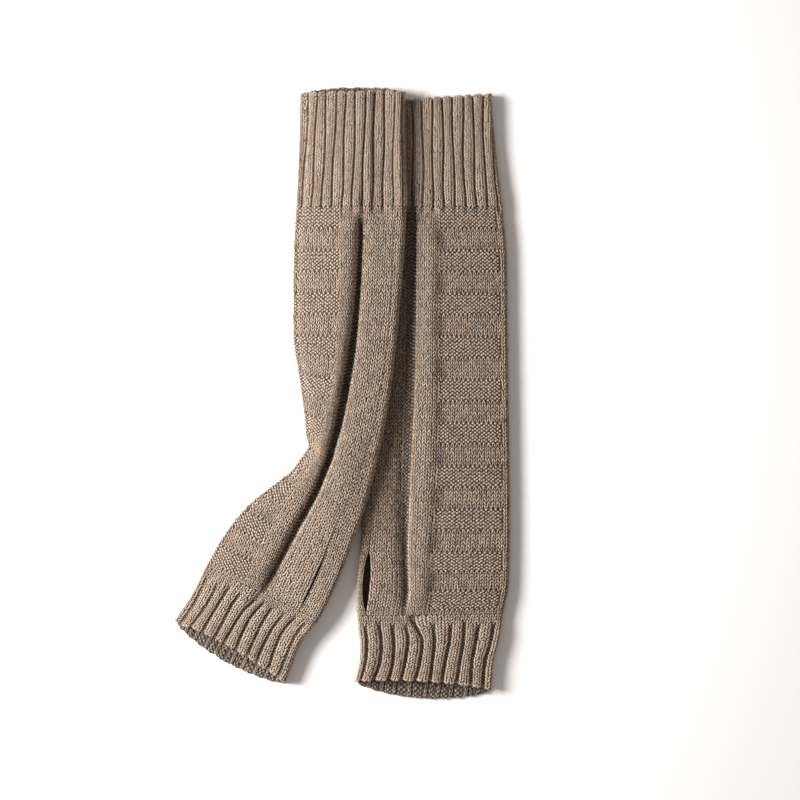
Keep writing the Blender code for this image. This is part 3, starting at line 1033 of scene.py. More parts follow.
@dataclass
class Knitter:
    """Lays stitches on cloth and joins them into meshes.

    Attributes:
        seed: start of its random draws.
        full: a strand for what shows.
        light: a strand with few faces, for where the cloth lies face down.
        wander: how far strands stray, in wales and courses.
        uneven: how much their heights differ.
        marl: how much the yarn's tone changes along a course.
        mottle: how much it differs from strand to strand.
        crown_highlight: painted highlight: how much lighter a strand is painted along its top.
        root: painted shade: how much darker it is painted at its ends.
    """

    seed: int
    full: tuple[Array, Array]
    light: tuple[Array, Array]
    wander: float = 0.05
    uneven: float = 0.12
    marl: float = 0.05
    mottle: float = 0.13
    crown_highlight: float = 0.26
    root: float = 0.46

    def strands(self, draw: np.random.Generator, ground: Ground, strand: Strand, wale: Array,
                course: Array, tone: Array, light: bool) -> tuple[Array, Array, Array, Array]:
        """Points of one strand of many stitches.

        Args:
            draw: the random draws.
            ground: the cloth under them.
            strand: the strand.
            wale: each stitch's middle.
            course: each stitch's middle.
            tone: each stitch's tone.
            light: whether the strands have few faces.

        Returns:
            World points, triangles, tones, and places in wales and courses.
        """
        unit, triangles = self.light if light else self.full
        form = strand.points(unit)
        rows = len(wale)
        nudge = draw.normal(0.0, self.wander, (2, rows, 1))
        grow = 1.0 + draw.normal(0.0, self.uneven, (rows, 1))
        across = ground.beside_split(wale[:, None] + form[None, :, 0] + nudge[0], wale[:, None])
        down = course[:, None] + form[None, :, 1] + nudge[1]
        points = ground.at(across, down, form[None, :, 2] * grow)
        points[..., 2] = np.maximum(points[..., 2], 0.0)
        # painted highlight along each strand's top and painted shade at its ends
        shade = self.crown_highlight * unit[:, 0] - self.root * unit[:, 2] ** 2
        tones = tone[:, None] + draw.normal(0.0, self.mottle, (rows, 1)) + shade[None]
        if ground.mirrored:
            triangles = triangles[:, ::-1]
        first, second, third = (points[:, triangles[:, corner]] for corner in range(3))
        volumes = np.einsum("nti,nti->n", first, np.cross(second, third))
        sound = volumes > CRUMPLED * np.median(volumes)
        faces = triangles[None] + (np.arange(sound.sum()) * len(form))[:, None, None]
        flat = np.stack([across, down], -1)[sound].reshape(-1, 2)
        return points[sound].reshape(-1, 3), faces.reshape(-1, 3), tones[sound].ravel(), flat

    def lay(self, name: str, ground: Ground, rows: Sequence[Stitches], material: bpy.types.Material,
            light: bool = False) -> bpy.types.Object:
        """Make a piece of the stitches at given places.

        Args:
            name: the piece's name.
            ground: the cloth under them.
            rows: the stitches of each kind.
            material: its finish.
            light: whether the strands have few faces.

        Returns:
            The piece.
        """
        draw = np.random.default_rng(self.seed)
        streaks = draw.normal(0.0, self.marl, (len(ground.courses), len(ground.wales)))
        streaks = sum(np.roll(streaks, step, axis=1) for step in range(STREAK)) / math.sqrt(STREAK)
        parts = []
        for stitch, wale, course in rows:
            tone = (YARN_TONE + ground.sample(streaks, wale, course)
                    + ground.sample(ground.fields["shade"], wale, course))
            for strand in stitch.value:
                parts.append(self.strands(draw, ground, strand, wale, course, tone, light))
        starts = np.cumsum([0] + [len(part[0]) for part in parts])
        faces = np.concatenate([part[1] + start for part, start in zip(parts, starts)])
        points, tones, flat = (np.concatenate([part[number] for part in parts])
                               for number in (0, 2, 3))
        flat = (flat - flat.min(axis=0)) / np.ptp(flat, axis=0).max()
        return make_piece(name, points, faces, material, tones, flat)


@dataclass(frozen=True)
class Nap:
    """Loose fibres that stand off the cloth and off the rims of the mouths.

    Attributes:
        seed: start of its random draws.
        unit: points and triangles of a cone of half thickness 1 that stands from 0 to 1.
        room: square millimetres of cloth to a fibre.
        spacing: millimetres of rim to a fibre.
        rise: how far a fibre's tip stands off the cloth, in millimetres.
        stray: how far its tip lies beside its root, in millimetres.
        half: half its thickness in millimetres.
        tone: its tone.
        rooted: how far over the cloth it begins.
        rises: least and greatest share of the rise.
        rim: least and greatest distance by which it stands out from a rim.
        clear: wales on either side of the slit that have none.
        upright: share of its length by which a fibre has to rise to count as upright.
    """

    seed: int
    unit: tuple[Array, Array]
    room: float = 8.0
    spacing: float = 0.35
    rise: float = 1.4
    stray: float = 1.1
    half: float = 0.08
    tone: float = 0.9
    rooted: float = 0.3
    rises: tuple[float, float] = (0.4, 1.5)
    rim: tuple[float, float] = (0.2, 1.0)
    clear: float = 1.5
    upright: float = 0.7

    def roots(self, draw: np.random.Generator, ground: Ground, courses: int) -> tuple[Array, Array]:
        """Places of the fibres on the front and the folds of the cloth."""
        low, high = ground.wales[1], ground.wales[-2]
        count = int((high - low) * WALE * courses * COURSE / self.room)
        wale, course = draw.uniform(low, high, count), draw.uniform(0.0, courses, count)
        shown = ground.sample(ground.fields["height"], wale, course) > UNDERSIDE
        for side in ("before", "after"):
            shown &= ground.sample(ground.fields[side], wale, course) > 0.0
        if ground.split is not None:
            shown &= np.abs(wale - ground.split) > self.clear
        return wale[shown], course[shown]

    def lay(self, name: str, ground: Ground, courses: int, mouths: Sequence[int],
            material: bpy.types.Material) -> bpy.types.Object:
        """Make a piece of the fibres of one tube.

        Args:
            name: the piece's name.
            ground: the cloth under them.
            courses: number of its courses.
            mouths: courses at which the tube has a mouth.
            material: their finish.

        Returns:
            The piece.
        """
        draw = np.random.default_rng(self.seed)
        wale, course = self.roots(draw, ground, courses)
        out = np.zeros(len(wale))
        low, high = ground.wales[1], ground.wales[-2]
        for mouth in mouths:
            count = int((high - low) * WALE / self.spacing)
            wale = np.concatenate([wale, draw.uniform(low, high, count)])
            course = np.concatenate([course, np.full(count, float(mouth))])
            away = 1.0 if mouth else -1.0
            out = np.concatenate([out, away * draw.uniform(*self.rim, count)])
        beside = draw.normal(0.0, self.stray, (2, len(wale)))
        rise = self.rise * draw.uniform(*self.rises, len(wale))
        root = ground.at(wale, course, np.full(len(wale), self.rooted))
        on = (beside[1] * (out == 0.0) + out) / COURSE
        tip = ground.at(np.clip(wale + beside[0] / WALE, *ground.wales[[0, -1]]),
                        np.clip(course + on, *ground.courses[[0, -1]]), self.rooted + rise)
        axis = tip - root
        along = axis / np.linalg.norm(axis, axis=1, keepdims=True)
        upright = np.abs(along[:, 2:]) > self.upright
        first = np.cross(along, np.where(upright, (1.0, 0.0, 0.0), (0.0, 0.0, 1.0)))
        first /= np.linalg.norm(first, axis=1, keepdims=True)
        second = np.cross(along, first)
        form, triangles = self.unit
        points = (root[:, None] + axis[:, None] * form[:, 2:]
                  + self.half * MM * (first[:, None] * form[:, :1] + second[:, None] * form[:, 1:2]))
        points[..., 2] = np.maximum(points[..., 2], 0.0)
        faces = triangles[None] + (np.arange(len(wale)) * len(form))[:, None, None]
        tones = np.full(points.shape[:2], self.tone)
        flat = np.column_stack([wale - wale.min(), course - course.min()]).repeat(len(form), axis=0)
        return make_piece(name, points.reshape(-1, 3), faces.reshape(-1, 3), material, tones.ravel(),
                          flat / flat.max())


def unit_fibre() -> tuple[Array, Array]:
    """A cone of three sides from Blender's own: its points and its triangles."""
    bpy.ops.mesh.primitive_cone_add(vertices=3, radius1=1.0, radius2=0.0, depth=1.0)
    cone = bpy.context.object
    points = np.array([vertex.co for vertex in cone.data.vertices]) + (0.0, 0.0, 0.5)
    triangles = np.array([face.vertices for face in cone.data.polygons])
    bpy.data.objects.remove(cone, do_unlink=True)
    return points, triangles


@dataclass(frozen=True)
class Ribbing:
    """The ribs of a cuff.

    Attributes:
        wales: wales in a rib with its groove.
        hidden: share of a rib that the purl wale in its groove takes up.
        ribs: number of ribs set out between the first groove and the last.
        beyond: how far from the body the ribs begin, and are full.
        first: the first groove's distance from the panel edge, at the arm's end and the hand's.
        last: the last groove's distance from the thumb edge, at the arm's end and the hand's.
        rise: how far a rib stands proud.
        depth: how deep a groove is.
        sway: how far a rib strays to either side.
        late: how much later or sooner than the others a groove may begin.
        crease: number of the groove into which the crease runs.
        bend: how far to the thumb's side that groove begins.
    """

    wales: int
    hidden: float
    ribs: int
    beyond: tuple[float, float]
    first: tuple[float, float]
    last: tuple[float, float]
    rise: float
    depth: float
    sway: float = 0.5
    late: float = 0.0
    crease: int | None = None
    bend: float = 0.0

    def grown(self, wale: Array, past: Array) -> Array:
        """How far the groove next to a wale has grown, at distances from the seam with the body."""
        start, full = self.beyond
        late = self.late * np.sin(SWAY_TURN * np.round(wale / self.wales))
        return smooth((past - start - late) / (full - start))

    def run_on(self, wale: Array, past: Array) -> Array:
        """Height that the body's roll and crease still add, at distances from the seam."""
        if self.crease is None:
            return 0.0 * wale * past
        off = wale / self.wales - self.crease
        fade = 1.0 - smooth(past / TROUGH)
        rise, place, reach = ROLL_RUN_ON
        depth, narrow = CREASE_RUN_ON
        roll, crease = np.exp(-((off - place) / reach) ** 2), np.exp(-(off / narrow) ** 2)
        return fade * (rise * roll - depth * crease)

    def grooves(self, width: Array, share: Array) -> tuple[Array, Array]:
        """Places across of the first and the last groove, at shares of the cuff's length."""
        first = self.first[0] + (self.first[1] - self.first[0]) * share
        last = self.last[0] + (self.last[1] - self.last[0]) * share
        return first, width - last

    def wale_at(self, place: Array) -> Array:
        """Wale coordinate of a place that is counted in ribs from the first groove."""
        groove = np.round(place)
        off = np.abs(place - groove)
        inner, outer = self.hidden / 2, (self.wales - 1) / (1.0 - self.hidden)
        wales = np.where(off < inner, off / self.hidden, 0.5 + (off - inner) * outer)
        return groove * self.wales + np.sign(place - groove) * wales

    def crest(self, wale: Array) -> Array:
        """0 in a groove and 1 on the top of a rib."""
        off = np.abs((wale + self.wales / 2) % self.wales - self.wales / 2)
        wall, ease = GROOVE_EASE
        flat = smooth((off - wall) / ease)
        return (1.0 - RIB_ROUND) * flat + RIB_ROUND * np.sin(math.pi / 2 * off / (self.wales / 2))

    def relief(self, wale: Array) -> Array:
        """Height of the ribs over the plain form."""
        crest = self.crest(wale)
        return self.rise * crest - self.depth * (1.0 - crest)


@dataclass
class Tube:
    """One knitted piece of a sleeve: its cloth shell and the stitches on it.

    Attributes:
        sleeve: the sleeve that it is part of.
        name: its own part of its pieces' names.
        cloth: its kind of knit.
        start: distance down to its first course.
        end: distance down to the end of its last course.
        courses: number of its courses.
        knitter: what lays its stitches.
        nap: its loose fibres.
        flat_width: width of its cut, all round it; not used.
        rests_on: pieces that it lies on; not used.
        ribbing: the ribs of a cuff.
        mouths: courses at which it has a mouth.
        wale_centre: place of a stitch's middle in its wale.
        row_step: courses from one ring of the shell to the next.
        split: wale at which a slit cuts it.
        pieces: the knit and nap that go with the shell.
    """

    sleeve: Sleeve
    name: str
    cloth: Cloth
    start: float
    end: float
    courses: int
    knitter: Knitter
    nap: Nap
    flat_width: float
    rests_on: tuple[str, ...] = ()
    ribbing: Ribbing | None = None
    mouths: tuple[int, ...] = ()
    wale_centre: float = 0.5
    row_step: float = 2.0
    split: float | None = None
    pieces: list[bpy.types.Object] = field(default_factory=list)

    @property
    def node(self) -> str:
        """Name of the node that the piece stands for."""
        return f"{self.sleeve.name}_{self.name}"

    @property
    def ribs(self) -> int | None:
        """Number of ribs, or None for a body."""
        return self.ribbing.ribs if self.ribbing else None

    def down(self, course: Array) -> Array:
        """Distance down to a course."""
        return self.start + (self.end - self.start) * np.asarray(course) / self.courses

    def past(self, down: Array) -> Array:
        """Distance of a place in a cuff from its seam with the body."""
        return self.end - down if 0 in self.mouths else down - self.start

    def anchors(self, rings: Rings) -> tuple[Array, Array]:
        """Where wales lie round the rings: wale coordinates, and distances round each ring."""
        ribbing = self.ribbing
        share = np.clip((rings.down - self.start) / (self.end - self.start), 0.0, 1.0)
        first, last = (rings.arc_at(place)
                       for place in ribbing.grooves(self.sleeve.read("width", rings.down), share))
        numbers = np.repeat(np.arange(-RIBS_BEYOND, ribbing.ribs + RIBS_BEYOND), 2)
        sides = np.resize((-0.5, 0.5), len(numbers))
        past = self.past(rings.down)[:, None]
        even = 1.0 / ribbing.wales
        hidden = even + (ribbing.hidden - even) * ribbing.grown(numbers * ribbing.wales, past)
        arcs = first[:, None] + (last - first)[:, None] * (numbers + sides * hidden) / ribbing.ribs
        away = smooth(past / SWAY_RUN)
        arcs += ribbing.sway * np.sin(rings.down[:, None] / SWAY_RUN + SWAY_TURN * numbers) * away
        if ribbing.crease is not None:
            near = np.exp(-((numbers - ribbing.crease) / BEND_REACH) ** 2)
            arcs += ribbing.bend * near * (1.0 - smooth(past / TROUGH))
        return numbers * ribbing.wales + sides, arcs

    def wale_lines(self, rings: Rings) -> tuple[Array, Array]:
        """The anchors, with one far beyond each end at the usual width of a wale."""
        wales, arcs = self.anchors(rings)
        wales = np.concatenate([[wales[0] - FAR_WALES], wales, [wales[-1] + FAR_WALES]])
        beyond = FAR_WALES * WALE
        return wales, np.column_stack([arcs[:, 0] - beyond, arcs, arcs[:, -1] + beyond])

    def purl(self, wale: Array, course: Array) -> Array:
        """Which stitches show their wrong side: those in the grooves, from where these have grown."""
        grown = self.ribbing.grown(wale, self.past(self.down(course)))
        return (np.round(wale) % self.ribbing.wales == 0) & (grown > PURL_GROWN)

    def relief(self, wale: Array, course: Array, down: Array, across: Array, height: Array) -> Array:
        """Height of the knit over the plain form.

        Args:
            wale: wale coordinates.
            course: course coordinates.
            down: distances down.
            across: places across.
            height: heights of the plain form.

        Returns:
            Heights in millimetres.
        """
        front, past = smooth((height - WALL) / RIB_FRONT), self.past(down)
        under = -UNDER_GROOVE * (1.0 - self.ribbing.crest(wale))
        ribbed = front * self.ribbing.relief(wale) + (1.0 - front) * under
        return self.ribbing.grown(wale, past) * ribbed + front * self.ribbing.run_on(wale, past)

    def shade(self, wale: Array, course: Array, relief: Array) -> Array:
        """Painted light and shade: how much lighter the yarn is painted where it stands proud, and
        darker where it lies low.
        """
        # painted highlight on what stands proud, painted shade in the grooves
        return RELIEF_SHADE * np.clip(relief, *RELIEF_RANGE)

    def scallop(self, wale: Array, down: Array) -> Array:
        """How far the ribs' ends stand out along the sleeve at a mouth."""
        out = 0.0 * wale * down
        for mouth in self.mouths:
            near = 1.0 - smooth(np.abs(down - self.down(mouth)) / SCALLOP_RUN)
            out = out + (1.0 if mouth else -1.0) * SCALLOP * (self.ribbing.crest(wale) - 0.5) * near
        return out

    def ground(self, inside: bool = False) -> Ground:
        """The cloth in stitch coordinates.

        Args:
            inside: whether it is the face inside the tube.

        Returns:
            The grid, a point to each half wale and half course.
        """
        courses = grid_over(0.0, self.courses, COURSE_STEP)
        down = self.down(courses)
        rings = self.sleeve.rings(down, self.ribs, steps=GRID_STEPS)
        lines, arcs = self.wale_lines(rings)
        ends = zip(rings.meeting - rings.length, rings.meeting, arcs)
        low, high = zip(*(np.interp((start, end), row, lines) for start, end, row in ends))
        wales = grid_over(np.floor(min(low)), np.ceil(max(high)), WALE_STEP)
        around = np.array([np.interp(wales, lines, row) for row in arcs])

        def read(values: Array) -> Array:
            rows = zip(around, rings.arc, values, rings.length)
            return np.array([np.interp(place, arc, row, period=length)
                             for place, arc, row, length in rows])
        rows, wale, course = down[:, None], wales[None, :], courses[:, None]
        across, height = read(rings.across), read(rings.height)
        out = self.sleeve.out(rows, across, height) + self.scallop(wale, rows)
        relief = self.relief(wale, course, rows, across, height)
        shade = self.shade(wale, course, relief)
        if inside:
            points = self.sleeve.place(rows, read(rings.inner_across), read(rings.inner_height), out)
            normals = -normals_of(points, self.sleeve.side, False)
            # painted shade inside a mouth, darker further in, with painted light on the ribs' backs
            darker, run = INSIDE_DEEP_SHADE
            away = np.min([np.abs(rows - self.down(mouth)) for mouth in self.mouths], axis=0)
            deep = smooth(away / run)
            lump = 0.5 + 0.5 * np.cos(4.0 * math.pi * wale / self.ribbing.wales)
            relief = INSIDE_RISE * lump + 0.0 * relief
            shade = 0.0 * shade + INSIDE_SHADE + INSIDE_LUMP_LIGHT * lump - darker * deep
        else:
            points = self.sleeve.place(rows, across, height, out)
            normals = normals_of(points, self.sleeve.side, False)
            relief = relief - SINK
        fields = {"height": height, "shade": shade,
                  "before": around - (rings.meeting - rings.length)[:, None],
                  "after": rings.meeting[:, None] - around}
        mirrored = (self.sleeve.side > 0) == inside
        return Ground(wales, courses, points, normals, relief, fields, mirrored, self.split)

    def shell_courses(self) -> Array:
        """Courses at which the shell has a ring."""
        count = round(self.courses / self.row_step)
        return np.linspace(0.0, self.courses, count + 1)

    def shell(self, material: bpy.types.Material) -> bpy.types.Object:
        """The thin shell of cloth under the stitches.

        Args:
            material: its finish.

        Returns:
            The closed shell, with both faces, round rims and any slit.
        """
        course = self.shell_courses()[:, None]
        down = self.down(course)
        rings = self.sleeve.rings(down[:, 0], self.ribs, steps=SHELL_STEPS if self.ribs else None)
        lines, arcs = self.wale_lines(rings)
        wale = np.array([np.interp(place, row, lines) for place, row in zip(rings.unwrapped(), arcs)])
        out = self.sleeve.out(down, rings.across, rings.height) + self.scallop(wale, down)
        outer = self.sleeve.place(down, rings.across, rings.height, out)
        inner = self.sleeve.place(down, rings.inner_across, rings.inner_height, out)
        relief = self.relief(wale, course, down, rings.across, rings.height)
        normals = normals_of(outer, self.sleeve.side, True)
        outer = outer + normals * (relief - SHELL_SINK)[..., None] * MM
        inner = inner + normals * np.minimum(relief + INNER_SLACK, 0.0)[..., None] * MM
        count, columns = rings.across.shape
        numbers = np.arange(2 * count * columns).reshape(2, count, columns)
        points = np.concatenate([outer.reshape(-1, 3), inner.reshape(-1, 3)])
        cut = self.cut_faces(rings)
        quads = []
        for here, flip in zip(numbers, (False, True)):
            after = np.roll(here, -1, axis=1)
            square = np.stack([here[:-1], after[:-1], after[1:], here[1:]], -1)[~cut]
            quads.append(square[:, ::-1] if flip else square)
        for row, flip in ((0, True), (-1, False)):
            quads.append(wall(*np.column_stack([numbers[:, row], numbers[:, row, 0]]), flip))
        quads = np.concatenate(quads + self.cut_walls(numbers, cut))
        if self.sleeve.side > 0:
            quads = quads[:, ::-1]
        triangles = np.concatenate([quads[:, [0, 1, 2]], quads[:, [0, 2, 3]]])
        used = np.unique(triangles)
        renumber = np.zeros(len(points), int)
        renumber[used] = np.arange(len(used))
        spread = np.stack([wale - wale.min(), course + 0.0 * wale], -1) / max(self.courses, UNROLLED)
        flat = np.tile(spread.reshape(-1, 2), (2, 1))
        # painted shade: the dark shell stands for the shade between the strands
        tone = np.repeat(SHELL_SHADE_TONES, count * columns)
        return make_piece(f"{self.node}_cloth", points[used], renumber[triangles], material,
                          tone[used], flat[used])

    def cut_faces(self, rings: Rings) -> Array:
        """Which faces of the shell are cut away: none but in a body."""
        return np.zeros((len(rings.down) - 1, rings.across.shape[1]), bool)

    def cut_walls(self, numbers: Array, cut: Array) -> list[Array]:
        """Faces that close the cut's edges between the two faces of the cloth.

        Args:
            numbers: numbers of the shell's points by face, row and column.
            cut: which faces are cut away.

        Returns:
            Arrays of quads.
        """
        rows, columns = np.nonzero(cut)
        if not len(rows):
            return []
        top, low = rows.min(), rows.max() + 1
        left, right = columns.min(), columns.max() + 1
        down, across = slice(top, low + 1), slice(left, right + 1)
        return [wall(*numbers[:, row, column], flip) for row, column, flip in (
            (down, left, True), (down, right, False), (top, across, False), (low, across, True))]

    def stitch_places(self, ground: Ground) -> tuple[Array, Array]:
        """Middles of all stitches that find room on the cloth."""
        wales = np.arange(np.ceil(ground.wales[0]), ground.wales[-1]) + self.wale_centre
        courses = np.arange(self.courses) + 0.5
        wale, course = (grid.ravel() for grid in np.meshgrid(wales, courses))
        before, after = (ground.sample(ground.fields[side], wale, course)
                         for side in ("before", "after"))
        room = (before > WALE * ROOM) & (after > WALE * ROOM)
        return wale[room], course[room]

    def zones(self, wale: Array) -> dict[str, Array]:
        """Which stitches go into each piece of knit, by the piece's name."""
        return {"knit": np.ones(len(wale), bool)}

    def kinds(self, wale: Array, course: Array, inside: bool = False) -> list[Stitches]:
        """Sort stitches by the side that they show, which from inside the tube is the other one."""
        purl = self.purl(wale, course) != inside
        return [(Stitch.PLAIN, wale[~purl], course[~purl]), (Stitch.PURL, wale[purl], course[purl])]

    def inside_of_mouth(self, mouth: int) -> tuple[Ground, list[Stitches]]:
        """The stitches that show inside the tube, just in from a mouth.

        Args:
            mouth: the course at which the mouth is.

        Returns:
            The cloth's inner face, and the stitches on it.
        """
        ground = self.ground(inside=True)
        wale, course = self.stitch_places(ground)
        height = ground.sample(ground.fields["height"], wale, course)
        seen = (height < WALL) & (np.abs(course - mouth) < MOUTH_COURSES)
        return ground, self.kinds(wale[seen], course[seen], inside=True)

    def build(self) -> None:
        """Make the shell, the stitches and the nap, and hide the part that they stand for."""
        material = WOOLS[self.cloth].material()
        shell = self.shell(material)
        ground = self.ground()
        wale, course = self.stitch_places(ground)

        def knit(part: str, face: Ground, rows: Sequence[Stitches], light: bool = False) -> None:
            self.pieces.append(self.knitter.lay(f"{self.node}_{part}", face, rows, material, light))
        under = ground.sample(ground.fields["height"], wale, course) < UNDERSIDE
        for zone, chosen in self.zones(wale).items():
            picked = chosen & ~under
            kinds = self.kinds(wale[picked], course[picked])
            for mouth in self.mouths:
                last = course == (mouth - 0.5 if mouth else 0.5)
                kinds.append((Stitch.EDGE, wale[last], np.full(last.sum(), float(mouth))))
            knit(zone, ground, kinds)
        knit("under_knit", ground, self.kinds(wale[under], course[under]), light=True)
        self.pieces.append(self.nap.lay(f"{self.node}_nap", ground, self.courses, self.mouths,
                                        material))
        for mouth in self.mouths:
            knit("inner_knit", *self.inside_of_mouth(mouth))
        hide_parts(self.node)


@dataclass
class Body(Tube):
    """The body, with its welt panel, roll, crease and thumb slit.

    Attributes:
        arm_ribs: the ribs that run in from the arm cuff.
    """

    arm_ribs: Ribbing | None = None

    def down(self, course: Array) -> Array:
        """Distance down to a course."""
        seam, full = self.sleeve.seam, WELTS - LOW_WELTS
        courses = (0, full * WELT_COURSES, WELTS * WELT_COURSES, self.courses)
        downs = (self.start, seam + welt_start(full), seam + welt_start(WELTS), self.end)
        course = np.asarray(course, float)
        beyond = np.minimum(course, 0.0) + np.maximum(course - self.courses, 0.0)
        return np.interp(course, courses, downs) + beyond * COURSE

    def anchors(self, rings: Rings) -> tuple[Array, Array]:
        """Where wales lie round the rings: wale coordinates, and distances round each ring."""
        sleeve, down = self.sleeve, rings.down
        crease, valley = sleeve.read("crease", down), sleeve.read("valley", down)
        bottom = rings.arc_at(crease)
        roll_end = rings.arc_at(crease - valley)
        roll_start = rings.arc_at(sleeve.read("panel", down))
        band = rings.arc_at(crease + valley)
        lip, far_lip = (rings.arc[:, rings.marks[name]] for name in ("lip", "far_lip"))
        near = smooth((down - sleeve.slit_ends()[0] + DRAWN_IN) / DRAWN_IN)
        free = band + (SLIT_WALE - 1) * WALE
        slit = free + (lip - free) * near
        far_slit = slit + SPLIT_GAP + (far_lip - lip - SPLIT_GAP) * near
        wales = [PANEL_EDGE, -VALLEY_WALES, 0.0, 1.0, SLIT_WALE, SLIT_WALE + SPLIT_WALES]
        arcs = [roll_start, roll_end, bottom, band, slit, far_slit]
        if sleeve.on_top_of is None:
            wales.insert(0, PANEL_EDGE - PANEL_WALES)
            arcs.insert(0, rings.arc_at(CHAIN_INSET + 0.0 * down))
        return np.array(wales, float), np.stack(arcs, 1)

    def purl(self, wale: Array, course: Array) -> Array:
        """Which stitches show their wrong side: the valley, and every other band of the panel."""
        panel = (wale < PANEL_EDGE) & (wale > PANEL_EDGE - PANEL_WALES)
        band = ((course // WELT_COURSES) % 2 == 0) & (course < WELTS * WELT_COURSES)
        valley = (wale > -VALLEY_WALES) & (wale < 1.0)
        return (panel & band) | valley

    def off_welt(self, course: Array) -> Array:
        """How many courses away the middle of the nearest purl band is."""
        middle = WELT_COURSES / 2
        return np.abs((course - middle + WELT_COURSES) % (2 * WELT_COURSES) - WELT_COURSES)

    def relief(self, wale: Array, course: Array, down: Array, across: Array, height: Array) -> Array:
        """Height of the purl bands over the plain form, and of the ribs that run in from the cuffs.

        Args:
            wale: wale coordinates.
            course: course coordinates.
            down: distances down.
            across: places across.
            height: heights of the plain form.

        Returns:
            Heights in millimetres.
        """
        band = smooth((WELT_COURSES / 2 + WELT_EASE / 2 - self.off_welt(course)) / WELT_EASE)
        window = (smooth((PANEL_EDGE - wale) / PANEL_EASE)
                  * smooth((wale - PANEL_EDGE + PANEL_WALES) / PANEL_EASE))
        front = smooth((height - WALL) / WELT_FRONT)
        welts = WELT_RISE * band * window * front
        away, reach = DIP_WALES
        welts -= ROLL_DIP * (1.0 - band) * np.exp(-((wale - PANEL_EDGE + away) / reach) ** 2) * front
        ribs = self.arm_ribs
        first, last = ribs.grooves(self.sleeve.read("width", down), 1.0)
        fade = 1.0 - smooth((down - self.start) / RIB_FADE)
        ribbed = front * ribs.relief(ribs.wale_at((across - first) / (last - first) * ribs.ribs))
        return (welts * (1.0 - fade) + ribbed * fade) * smooth((self.end - down) / END_FADE)

    def shade(self, wale: Array, course: Array, relief: Array) -> Array:
        """Painted light and shade on the yarn: painted shade in the crease, beside the purl bands and
        under the edge of the other warmer, and the panel's painted light or shade.
        """
        shade = super().shade(wale, course, relief)
        # painted shade in the crease
        shade = shade - CREASE_SHADE * smooth(CREASE_REACH - np.abs(wale))
        panel = smooth((PANEL_EDGE - wale) / PANEL_FADE)
        # painted shade in the plain courses next to a purl band
        beside = np.exp(-((self.off_welt(course) - WELT_COURSES / 2 - 0.5) / 0.5) ** 2)
        # the panel's painted light or shade, with the painted shade beside the bands
        shade = shade + (self.sleeve.panel_painted_light - BESIDE_WELT_SHADE * beside) * panel
        if self.sleeve.on_top_of is not None:
            return shade
        # painted shadow under the edge of the other warmer, until the two part
        begin, end, ease = COVERED_WALES
        covered = smooth((end - wale) / ease) * smooth(wale / begin)
        return shade - UNDER_SHADE * covered * (1.0 - self.sleeve.apart(self.down(course)))

    def cut_faces(self, rings: Rings) -> Array:
        """Which faces of the shell the slit takes away."""
        cut = super().cut_faces(rings)
        start, end = self.sleeve.slit_ends()
        rows = np.nonzero((rings.down > start - NEAR) & (rings.down < end + NEAR))[0]
        cut[rows[0]:rows[-1], rings.marks["lip"]:rings.marks["far_lip"]] = True
        return cut

    def shell_courses(self) -> Array:
        """Courses at which the shell has a ring, the slit's ends among them."""
        ends = [(WELTS - LOW_WELTS) * WELT_COURSES + WELT_SLOPE / LOW_WELT * WELT_COURSES,
                (WELTS - WELT_SLOPE / LOW_WELT) * WELT_COURSES]
        return np.sort(np.concatenate([super().shell_courses(), ends]))

    def zones(self, wale: Array) -> dict[str, Array]:
        """Which stitches go into each piece of knit, by the piece's name."""
        return {"panel_knit": wale < PANEL_EDGE, "band_knit": wale > PANEL_EDGE}


@dataclass
class ArmWarmer:
    """One arm warmer: a fine-ribbed arm cuff, a body and a coarse-ribbed hand cuff.

    Attributes:
        sleeve: its form.
        knitter: what lays its stitches.
        nap: its loose fibres.
        arm_ribs: the ribs of its arm cuff.
        hand_ribs: the ribs of its hand cuff.
        below: name of the warmer that it lies on.
    """

    sleeve: Sleeve
    knitter: Knitter
    nap: Nap
    arm_ribs: Ribbing
    hand_ribs: Ribbing
    below: str | None = None

    def build(self) -> None:
        """Make the three pieces."""
        sleeve, gap = self.sleeve, SEAM_GAP / 2
        seam, hand_seam = sleeve.seam, sleeve.seam + BODY_LENGTH
        hand_courses = round((sleeve.length - hand_seam) / CUFF_COURSE)

        def rests_on(part: str) -> tuple[str, ...]:
            return (f"{self.below}_{part}_cloth",) if self.below else ()
        common = {"sleeve": sleeve, "knitter": self.knitter, "nap": self.nap}
        Tube(name="arm_cuff", cloth=Cloth.FINE_RIB, start=0.0, end=seam - gap,
             courses=round(seam / CUFF_COURSE), flat_width=CUTS[Cloth.FINE_RIB],
             rests_on=rests_on("arm_cuff"), ribbing=self.arm_ribs, mouths=(0,), wale_centre=0.0,
             **common).build()
        Body(name="body", cloth=Cloth.PLAIN, start=seam + gap, end=hand_seam - gap,
             courses=WELTS * WELT_COURSES + LAST_COURSES, flat_width=CUTS[Cloth.PLAIN],
             rests_on=rests_on("body"), split=SLIT_WALE, arm_ribs=self.arm_ribs, **common).build()
        Tube(name="hand_cuff", cloth=Cloth.COARSE_RIB, start=hand_seam + gap, end=sleeve.length,
             courses=hand_courses, flat_width=CUTS[Cloth.COARSE_RIB], ribbing=self.hand_ribs,
             mouths=(hand_courses,), wale_centre=0.0, **common).build()


